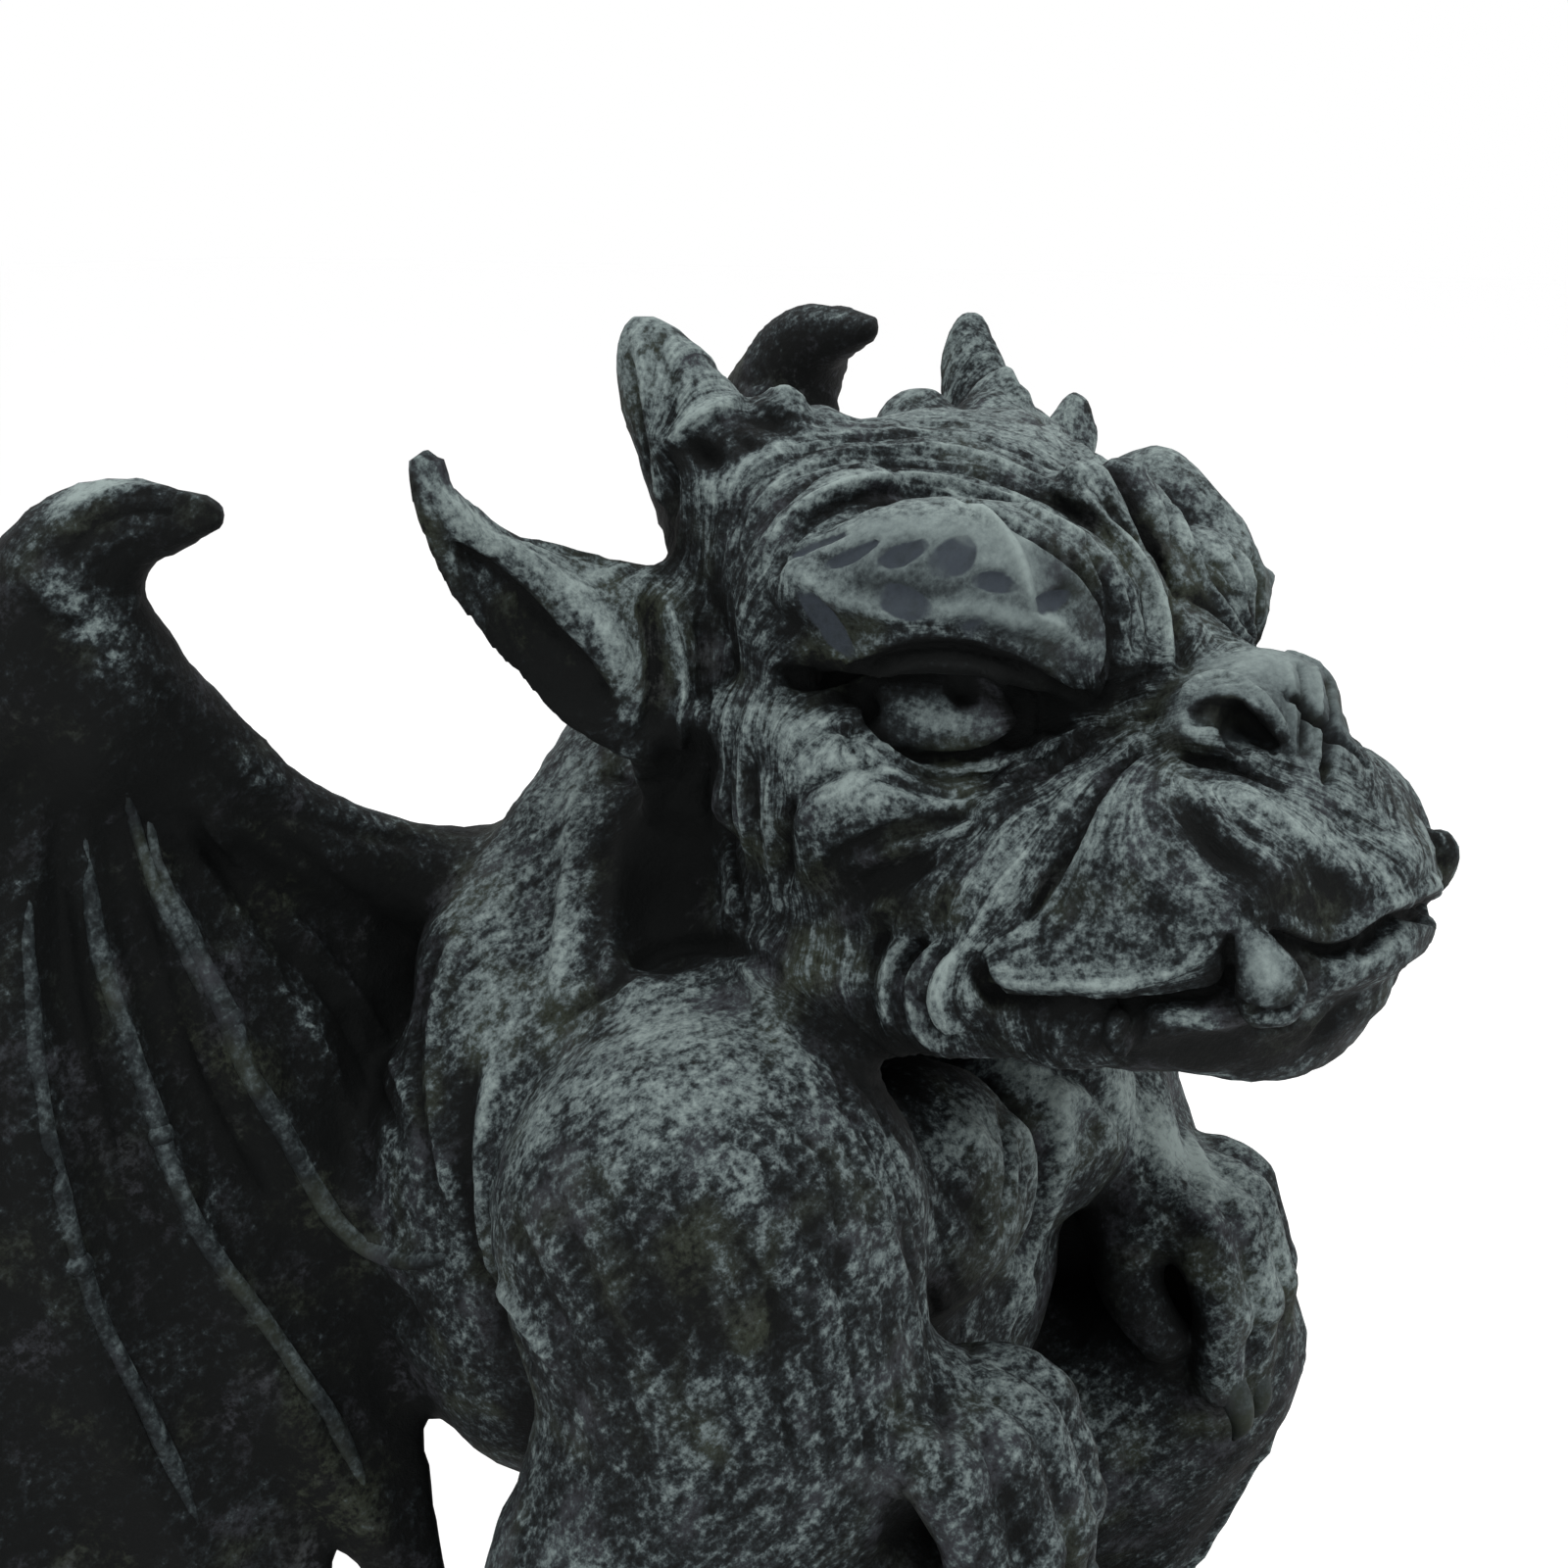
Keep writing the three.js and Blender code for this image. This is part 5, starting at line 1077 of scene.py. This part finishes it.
def resin(name, paint):
    n = Nodes(name)
    where = n.add("ShaderNodeTexCoord", out="Object")
    relief, openness, grain, paintedTopLight, scales, smooth, dry, folds = (
        n.attribute(k) for k in ("relief", "open", "grain", "upward", "scales", "smooth", "dry", "folds"))

    # Brush marks: noise stretched along the folds, cut short by a slow change with place
    def streaks(perLevel, perMetre):
        lane = n.add("ShaderNodeCombineXYZ", {"X": n.maths("MULTIPLY", grain, perLevel)})
        slow = n.add("ShaderNodeVectorMath", {0: where, "Scale": perMetre}, operation="SCALE")
        return n.noise(1.0, 3, n.add("ShaderNodeVectorMath", {0: lane, 1: slow}, operation="ADD"), 0.65)

    # The same on the body, where the brush went one way: across the shoulder and upwards
    def hatch(across, along):
        rows = ((0.848, 0.53, 0.0, across), (0.35, -0.56, -0.75, across), (0.40, -0.63, 0.66, along))
        parts = [n.maths("MULTIPLY", n.add("ShaderNodeVectorMath", {0: where, 1: row[:3]}, out=1,
                                           operation="DOT_PRODUCT"), row[3]) for row in rows]
        return n.noise(1.0, 3, n.add("ShaderNodeCombineXYZ", dict(enumerate(parts))), 0.65)

    fineStreak, broadStreak, bodyHatch = streaks(2.4, 260.0), streaks(0.8, 110.0), hatch(900.0, 260.0)
    speck = n.noise(1500, 2, where, 0.7)
    dapple = n.noise(800, 4, where, 0.75)
    patchy = n.noise(120, 3, where, 0.55)
    # Dry brushing sits on what stands proud; what faces up gets painted light from above, and the recesses get painted
    # shade, partly the real dark wash that lies low there
    calm = n.maths("MULTIPLY_ADD", smooth, -0.7, 1.0)
    onBody = n.maths("SUBTRACT", 1.0, folds, clamp=True)
    marks = n.total(n.maths("MULTIPLY", n.maths("MULTIPLY", n.total(fineStreak, -0.5), 0.50), folds),
                    n.maths("MULTIPLY", n.maths("MULTIPLY", n.total(broadStreak, -0.5), 0.42), folds),
                    n.maths("MULTIPLY", n.maths("MULTIPLY", n.total(bodyHatch, -0.5), 0.50), onBody),
                    n.maths("MULTIPLY", n.total(speck, -0.5), 0.46),
                    n.maths("MULTIPLY", n.total(dapple, -0.5), 0.56),
                    n.maths("MULTIPLY", n.total(patchy, -0.5), 0.36))
    level = n.total(n.maths("MULTIPLY", relief, 0.17), n.maths("MULTIPLY", openness, 0.36),
                    n.maths("MULTIPLY", paintedTopLight, 0.10), n.maths("MULTIPLY", marks, calm), dry, -0.10)
    # The lowest levels go to charcoal: painted shade in the recesses and under overhangs, with the real dark wash
    body = n.blend(n.range(level, -0.02, 0.26), linear(paint["char"]), linear(paint["wash"]))
    body = n.blend(n.range(n.noise(90, 2, where), 0.50, 0.72, 0.0, 0.5), body, linear(paint["olive"]))
    body = n.blend(n.range(n.noise(130, 2, where), 0.52, 0.72, 0.0, 0.4), body, linear(paint["violet"]))
    body = n.blend(n.range(level, -0.10, 0.16), linear(paint["char"]), body)
    body = n.blend(n.range(level, 0.14, 0.36), body, linear(paint["grey"]))
    body = n.blend(n.range(level, paint["brushFrom"], paint["brushTo"]), body, linear(paint["brush"]))
    spot = n.blend(n.range(dapple, 0.4, 0.75, 0.0, 0.6), linear(paint["scale"]), linear(paint["wash"]))
    body = n.blend(n.range(scales, 0.35, 0.75, 0.0, 0.94), body, spot)
    n.tree.links.new(body, n.shader.inputs["Base Color"])
    n.shader.inputs["Roughness"].default_value = paint["roughness"]
    n.shader.inputs["IOR"].default_value = paint["ior"]
    n.shader.inputs["Specular IOR Level"].default_value = paint["specular"]
    height = n.total(n.maths("MULTIPLY", n.maths("MULTIPLY", fineStreak, 0.5), folds),
                     n.maths("MULTIPLY", n.maths("MULTIPLY", bodyHatch, 0.3), onBody),
                     n.maths("MULTIPLY", dapple, 0.5), n.maths("MULTIPLY", speck, 0.3))
    bump = n.add("ShaderNodeBump", {"Height": n.maths("MULTIPLY", height, calm), "Strength": 0.8,
                                    "Distance": 0.40 * mm})
    n.tree.links.new(bump, n.shader.inputs["Normal"])
    return n.material


castResin = resin("castResin", paint)
made.materials.append(castResin)
made.polygons.foreach_set("use_smooth", np.ones(len(made.polygons), bool))
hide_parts("gargoyle")
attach(gargoyle, "root")


# Pieces grown by Geometry Nodes
def geometryGroup(name, inputs):
    group = bpy.data.node_groups.new(name, "GeometryNodeTree")
    group.interface.new_socket("Geometry", in_out="INPUT", socket_type="NodeSocketGeometry")
    for key, kind in inputs.items():
        group.interface.new_socket(key, in_out="INPUT", socket_type="NodeSocket" + kind)
    group.interface.new_socket("Geometry", in_out="OUTPUT", socket_type="NodeSocketGeometry")
    return group, group.nodes.new("NodeGroupInput").outputs


def finished(group, shape, material):
    real = addNode(group, "GeometryNodeRealizeInstances", {"Geometry": shape})
    smooth = addNode(group, "GeometryNodeSetShadeSmooth", {"Geometry": real, "Shade Smooth": True})
    painted = addNode(group, "GeometryNodeSetMaterial", {"Geometry": smooth, "Material": material})
    group.links.new(painted, group.nodes.new("NodeGroupOutput").inputs[0])
    return group


def swelling(group, shape, size, amount, seed):
    # Pushes a surface in and out along its normals with fixed noise
    noise = addNode(group, "ShaderNodeTexNoise", {"Vector": addNode(group, "GeometryNodeInputPosition"), "W": seed,
                                                  "Scale": size, "Detail": 3.0}, noise_dimensions="4D")
    push = addNode(group, "ShaderNodeMath", {0: addNode(group, "ShaderNodeMath", {0: noise, 1: 0.5},
                                                        operation="SUBTRACT"), 1: amount}, operation="MULTIPLY")
    offset = addNode(group, "ShaderNodeVectorMath", {0: addNode(group, "GeometryNodeInputNormal"), "Scale": push},
                     operation="SCALE")
    return addNode(group, "GeometryNodeSetPosition", {"Geometry": shape, "Offset": offset})


def cordGroup():
    group, entry = geometryGroup("taperedCords", {"Sides": "Int", "Swelling Scale": "Float", "Swelling": "Float",
                                                  "Seed": "Float", "Material": "Material"})
    radius = addNode(group, "GeometryNodeInputNamedAttribute", {"Name": "radius"}, data_type="FLOAT")
    single = addNode(group, "GeometryNodeInputNamedAttribute", {"Name": "single"}, data_type="BOOLEAN")
    curve = addNode(group, "GeometryNodeMeshToCurve", {"Mesh": entry["Geometry"]})
    ring = addNode(group, "GeometryNodeCurvePrimitiveCircle", {"Resolution": entry["Sides"], "Radius": 1.0})
    tube = addNode(group, "GeometryNodeCurveToMesh", {"Curve": curve, "Profile Curve": ring, "Scale": radius,
                                                      "Fill Caps": True})
    ball = addNode(group, "GeometryNodeMeshIcoSphere", {"Radius": 1.0, "Subdivisions": 4})
    balls = addNode(group, "GeometryNodeInstanceOnPoints", {"Points": entry["Geometry"], "Selection": single,
                                                            "Instance": ball, "Scale": radius})
    both = group.nodes.new("GeometryNodeJoinGeometry")
    group.links.new(tube, both.inputs[0])
    group.links.new(addNode(group, "GeometryNodeRealizeInstances", {"Geometry": balls}), both.inputs[0])
    swollen = swelling(group, both.outputs[0], entry["Swelling Scale"], entry["Swelling"], entry["Seed"])
    return finished(group, swollen, entry["Material"])


def grown(name, mesh, group, settings, replaced):
    piece = bpy.data.objects.new(name, mesh)
    bpy.context.collection.objects.link(piece)
    modifier = piece.modifiers.new(group.name, "NODES")
    modifier.node_group = group
    for item in group.interface.items_tree:
        if item.in_out == "INPUT" and item.name in settings:
            modifier[item.identifier] = settings[item.name]
    made = bpy.data.meshes.new_from_object(piece.evaluated_get(bpy.context.evaluated_depsgraph_get()))
    piece.modifiers.remove(modifier)
    piece.data = made
    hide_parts(replaced)
    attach(piece, "root")
    print(name, len(made.polygons), "faces", pointsOf(made).min(0), pointsOf(made).max(0))
    return made


def cordMesh(name, chains):
    # Each chain is rows of x, y, z, radius; a chain of one row becomes a ball
    points = np.concatenate([np.asarray(c, float) for c in chains])
    mesh = bpy.data.meshes.new(name)
    starts = np.cumsum([0] + [len(c) for c in chains])
    edges = [(i, i + 1) for a, b in zip(starts[:-1], starts[1:]) for i in range(a, b - 1)]
    mesh.from_pydata((points[:, :3] * mm).tolist(), edges, [])
    keep(mesh, "radius", points[:, 3] * mm)
    layer = mesh.attributes.new("single", "BOOLEAN", "POINT")
    layer.data.foreach_set("value", [len(c) == 1 for c in chains for _ in c])
    return mesh


def paintFacts(mesh, **facts):
    # What the resin reads: a number each, or one value per point
    count = len(mesh.vertices)
    # Upward facing, for the painted light from above
    keep(mesh, "upward", normalsOf(mesh)[:, 2])
    for name in ("relief", "open", "grain", "scales", "smooth", "dry", "folds"):
        keep(mesh, name, np.zeros(count) + facts.get(name, 0.0))


cords = cordGroup()
cordSet = {"Sides": 14, "Swelling Scale": 420.0, "Swelling": 0.9 * mm, "Seed": 3.0, "Material": castResin}
chains = []
for kind, name, height, wide, path, way in gathered("wing", wingCords) + gathered("wing", wingKnuckles):
    # A bone stands a little more than half out of the skin and dives into it at both ends
    along = np.arange(len(path))
    sunk = 1 - np.clip(np.minimum(along, len(path) - 1 - along) / 9, 0, 1) if len(path) > 1 else np.zeros(1)
    rows = np.column_stack([path + way * (wide * (0.2 - 1.6 * sunk))[:, None], wide])
    rows = rows[::3 if len(path) > 3 else 1]
    for side in (-1, 1):
        w = np.clip((rows[:, 2] - 60) / 100, 0, 1) * (side > 0)
        chains.append(np.column_stack([side * rows[:, 0], rows[:, 1] - wingSet["forward"] * w,
                                       rows[:, 2] + wingSet["lift"] * w * w, rows[:, 3]]))
made = grown("wingCords", cordMesh("wingCords", chains), cords, cordSet, "gargoyle")
paintFacts(made, relief=0.7, open=0.6, dry=-0.06, smooth=0.7)

# Claws: eight on the toes and eight on the fingers
clawSet = {"Sides": 14, "Swelling Scale": 700.0, "Swelling": 0.25 * mm, "Seed": 5.0, "Material": castResin}
chains = []
for side in (-1, 1):
    for t in range(4):
        spread = (t - 1.5) * 0.3
        chains.append(smoothRows([(side * (35 + (t - 1.5) * 4 + math.sin(spread) * r), -23 - math.cos(spread) * r, z, w)
                                  for r, z, w in ((15.4, 18.6, 2.3), (18.4, 19.6, 2.1), (21.2, 18.9, 1.6),
                                                  (23.2, 17, 1), (24, 15.2, 0.2))], 5))
    slip = (0, 0, 0) if side < 0 else (-1.5, 2.5, -1.5)
    for f in range(4):
        x = 22.6 + f * 5.4
        chains.append(smoothRows([(side * (x + slip[0]), y + slip[1], z + slip[2], w) for y, z, w in
                                  ((-30.2, 81, 1.9), (-31.8, 78.6, 1.7), (-32.4, 76, 1.2), (-31.6, 73.8, 0.2))], 5))
made = grown("clawTips", cordMesh("clawTips", chains), cords, clawSet, "gargoyle")
paintFacts(made, relief=0.5, open=0.8, dry=-0.1, smooth=1.0)


# Plinth: two rough courses; rows are (how far outside the main outline, height) in millimetres
plinthSet = {"half": 58.0, "corner": 0.7, "around": 360, "inset": 0.9}
plinthRows = [(3.2, 0.1), (4.4, 0.7), (4.9, 2.6), (4.8, 4.4), (4.0, 5.6), (2.2, 6.2), (0.6, 6.6), (0.1, 7.6), (0, 9.6),
              (-0.3, 11.8), (-1.2, 13.1), (-2.8, 13.7), (-5, 13.9)]


def plinthPoints():
    angle = np.linspace(0, 2 * math.pi, plinthSet["around"], endpoint=False)
    rough = 1 + 0.02 * np.sin(3 * angle + 1) + 0.02 * np.sin(7 * angle + 2)
    square = 1 / np.maximum(np.abs(np.cos(angle)), np.abs(np.sin(angle))) ** plinthSet["corner"]
    outline = np.column_stack([np.cos(angle), np.sin(angle)]) * (rough * square)[:, None]
    rows = smoothRows([(plinthSet["half"] - plinthSet["inset"] + grow, z) for grow, z in plinthRows], 5).tolist()
    rows = ([(rows[0][0] * t, 0.1) for t in np.linspace(0.02, 1, 20, endpoint=False)] + rows
            + [(rows[-1][0] * t, 13.9) for t in np.linspace(1, 0.02, 56)[1:]])
    grid = np.array([[(x * r, y * r, z) for x, y in outline] for r, z in rows])
    return grid, np.array([r for r, z in rows])


grid, reach = plinthPoints()
rings, around = grid.shape[:2]
flat = grid.reshape(-1, 3)
index = np.arange(rings * around).reshape(rings, around)
quads = np.stack([index[:-1], np.roll(index[:-1], -1, 1), np.roll(index[1:], -1, 1), index[1:]], -1).reshape(-1, 4)
ends = [np.column_stack([np.roll(index[k], -1 if k else 1), index[k], np.full(around, len(flat) + e),
                         np.full(around, len(flat) + e)]) for e, k in enumerate((0, -1))]
flat = np.vstack([flat, [(0, 0, 0.1), (0, 0, 13.9)]])
wall = np.clip(flat[:, 2] - 0.6, 0, 1) * np.clip((13.6 - flat[:, 2]) / 1.5, 0, 1)
outward = np.column_stack([flat[:, 0], flat[:, 1], np.zeros(len(flat))]) / (np.linalg.norm(flat[:, :2], axis=1)[:, None] + 1)
chisel = -0.9 * np.abs(lumps(flat, 9, 21)) - 0.5 * np.abs(lumps(flat, 3.4, 22)) + 0.2 * lumps(flat, 1.4, 23)
ground = -0.35 * np.abs(lumps(flat, 12, 24)) - 0.3 * np.abs(lumps(flat, 4, 25)) + 0.1 * lumps(flat, 1.3, 26)
onTop = np.clip((flat[:, 2] - 12.6) / 1.2, 0, 1)
flat[:, 2] = np.maximum(flat[:, 2], 0.05)
flat = flat + outward * (chisel * wall)[:, None] + np.array([0, 0, 1]) * ((ground + 0.4) * onTop)[:, None]
plinthMesh = plainMesh("plinthRock", flat, quads)
plinthMesh.clear_geometry()
faces = [f.tolist() for f in quads] + [f[:3].tolist() for e in ends for f in e]
plinthMesh.from_pydata((flat * mm).tolist(), [], faces)
plinthMesh.polygons.foreach_set("use_smooth", np.ones(len(plinthMesh.polygons), bool))
plinth = bpy.data.objects.new("plinthRock", plinthMesh)
bpy.context.collection.objects.link(plinth)
paintFacts(plinthMesh, relief=1.2 * (chisel * wall + ground * onTop) + 0.5, open=0.62, dry=-0.10,
           grain=flat[:, 2] * 1.4 + lumps(flat, 9, 27))
plinthPaint = dict(paint, olive="43422f", grey="3f4646", brush="7c8682")
plinthResin = resin("plinthResin", plinthPaint)
plinthMesh.materials.append(plinthResin)
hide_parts("plinth")
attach(plinth, "root")


def pebbleGroup():
    group, entry = geometryGroup("scatteredPebbles", {"Density": "Float", "Least": "Float", "Most": "Float",
                                                      "Swelling": "Float", "Seed": "Int", "Material": "Material"})
    upward = addNode(group, "ShaderNodeSeparateXYZ", {0: addNode(group, "GeometryNodeInputNormal")}, out=2)
    level = addNode(group, "FunctionNodeCompare", {0: upward, 1: 0.8}, data_type="FLOAT", operation="GREATER_THAN")
    scatter = group.nodes.new("GeometryNodeDistributePointsOnFaces")
    for key, value in {"Mesh": entry["Geometry"], "Selection": level, "Density": entry["Density"],
                       "Seed": entry["Seed"]}.items():
        group.links.new(value, scatter.inputs[key])
    size = addNode(group, "FunctionNodeRandomValue", {2: entry["Least"], 3: entry["Most"], "Seed": entry["Seed"]}, out=1)
    scale = addNode(group, "ShaderNodeCombineXYZ", {0: size, 1: size, 2: addNode(group, "ShaderNodeMath", {0: size, 1: 0.7},
                                                                              operation="MULTIPLY")})
    stone = addNode(group, "GeometryNodeMeshIcoSphere", {"Radius": 1.0, "Subdivisions": 3})
    laid = addNode(group, "GeometryNodeInstanceOnPoints", {"Points": scatter.outputs["Points"], "Instance": stone,
                                                           "Rotation": scatter.outputs["Rotation"], "Scale": scale})
    real = addNode(group, "GeometryNodeRealizeInstances", {"Geometry": laid})
    return finished(group, swelling(group, real, 500.0, entry["Swelling"], 7.0), entry["Material"])


pebbleSet = {"Density": 13000.0, "Least": 0.5 * mm, "Most": 2.0 * mm, "Swelling": 1.4 * mm, "Seed": 11,
             "Material": plinthResin}
made = grown("plinthPebbles", plinthMesh.copy(), pebbleGroup(), pebbleSet, "plinth")
spots = pointsOf(made)
spots[:, 2] = np.maximum(spots[:, 2], 0.1)
made.vertices.foreach_set("co", (spots * mm).ravel())
paintFacts(made, relief=0.4, open=0.6, dry=-0.06)

# Floor, light, camera
floorMesh = plainMesh("floor", np.array([(-6000, -6000, 0), (6000, -6000, 0), (6000, 6000, 0), (-6000, 6000, 0)], float),
                      np.array([[0, 1, 2, 3]]), False)
floor = bpy.data.objects.new("floor", floorMesh)
bpy.context.collection.objects.link(floor)
pale = Nodes("paleFloor")
pale.shader.inputs["Base Color"].default_value = linear("ffffff")
pale.shader.inputs["Roughness"].default_value = 0.9
floorMesh.materials.append(pale.material)

world = bpy.data.worlds.new("studio")
world.use_nodes = True
world.node_tree.nodes["Background"].inputs["Color"].default_value = (1, 1, 1, 1)
world.node_tree.nodes["Background"].inputs["Strength"].default_value = 1.0
bpy.context.scene.world = world
bpy.context.scene.view_settings.view_transform = "Standard"


def softBox(name, azimuth, elevation, distance, size, power):
    a, e = math.radians(azimuth), math.radians(elevation)
    back = np.array([math.sin(a) * math.cos(e), -math.cos(a) * math.cos(e), math.sin(e)])
    data = bpy.data.lights.new(name, "AREA")
    data.size, data.energy = size, power
    lamp = bpy.data.objects.new(name, data)
    bpy.context.collection.objects.link(lamp)
    lamp.location = (np.array([0, 0, 130]) * mm + back * distance).tolist()
    lamp.rotation_euler = Vector((-back).tolist()).to_track_quat("-Z", "Y").to_euler()


softBox("keyLight", -35, 66, 0.7, 0.45, 2.4)
softBox("backLight", 140, 60, 0.8, 0.5, 1.4)

camera = bpy.data.objects.new("camera", bpy.data.cameras.new("camera"))
bpy.context.collection.objects.link(camera)
camera.data.sensor_width, camera.data.lens = 36.0, sight["lens"]
camera.data.clip_start, camera.data.clip_end = 0.01, 20
camera.location = (sightPlace * mm).tolist()
camera.rotation_mode = "QUATERNION"
camera.rotation_quaternion = Vector((-sightBack).tolist()).to_track_quat("-Z", "Y")
bpy.context.scene.camera = camera
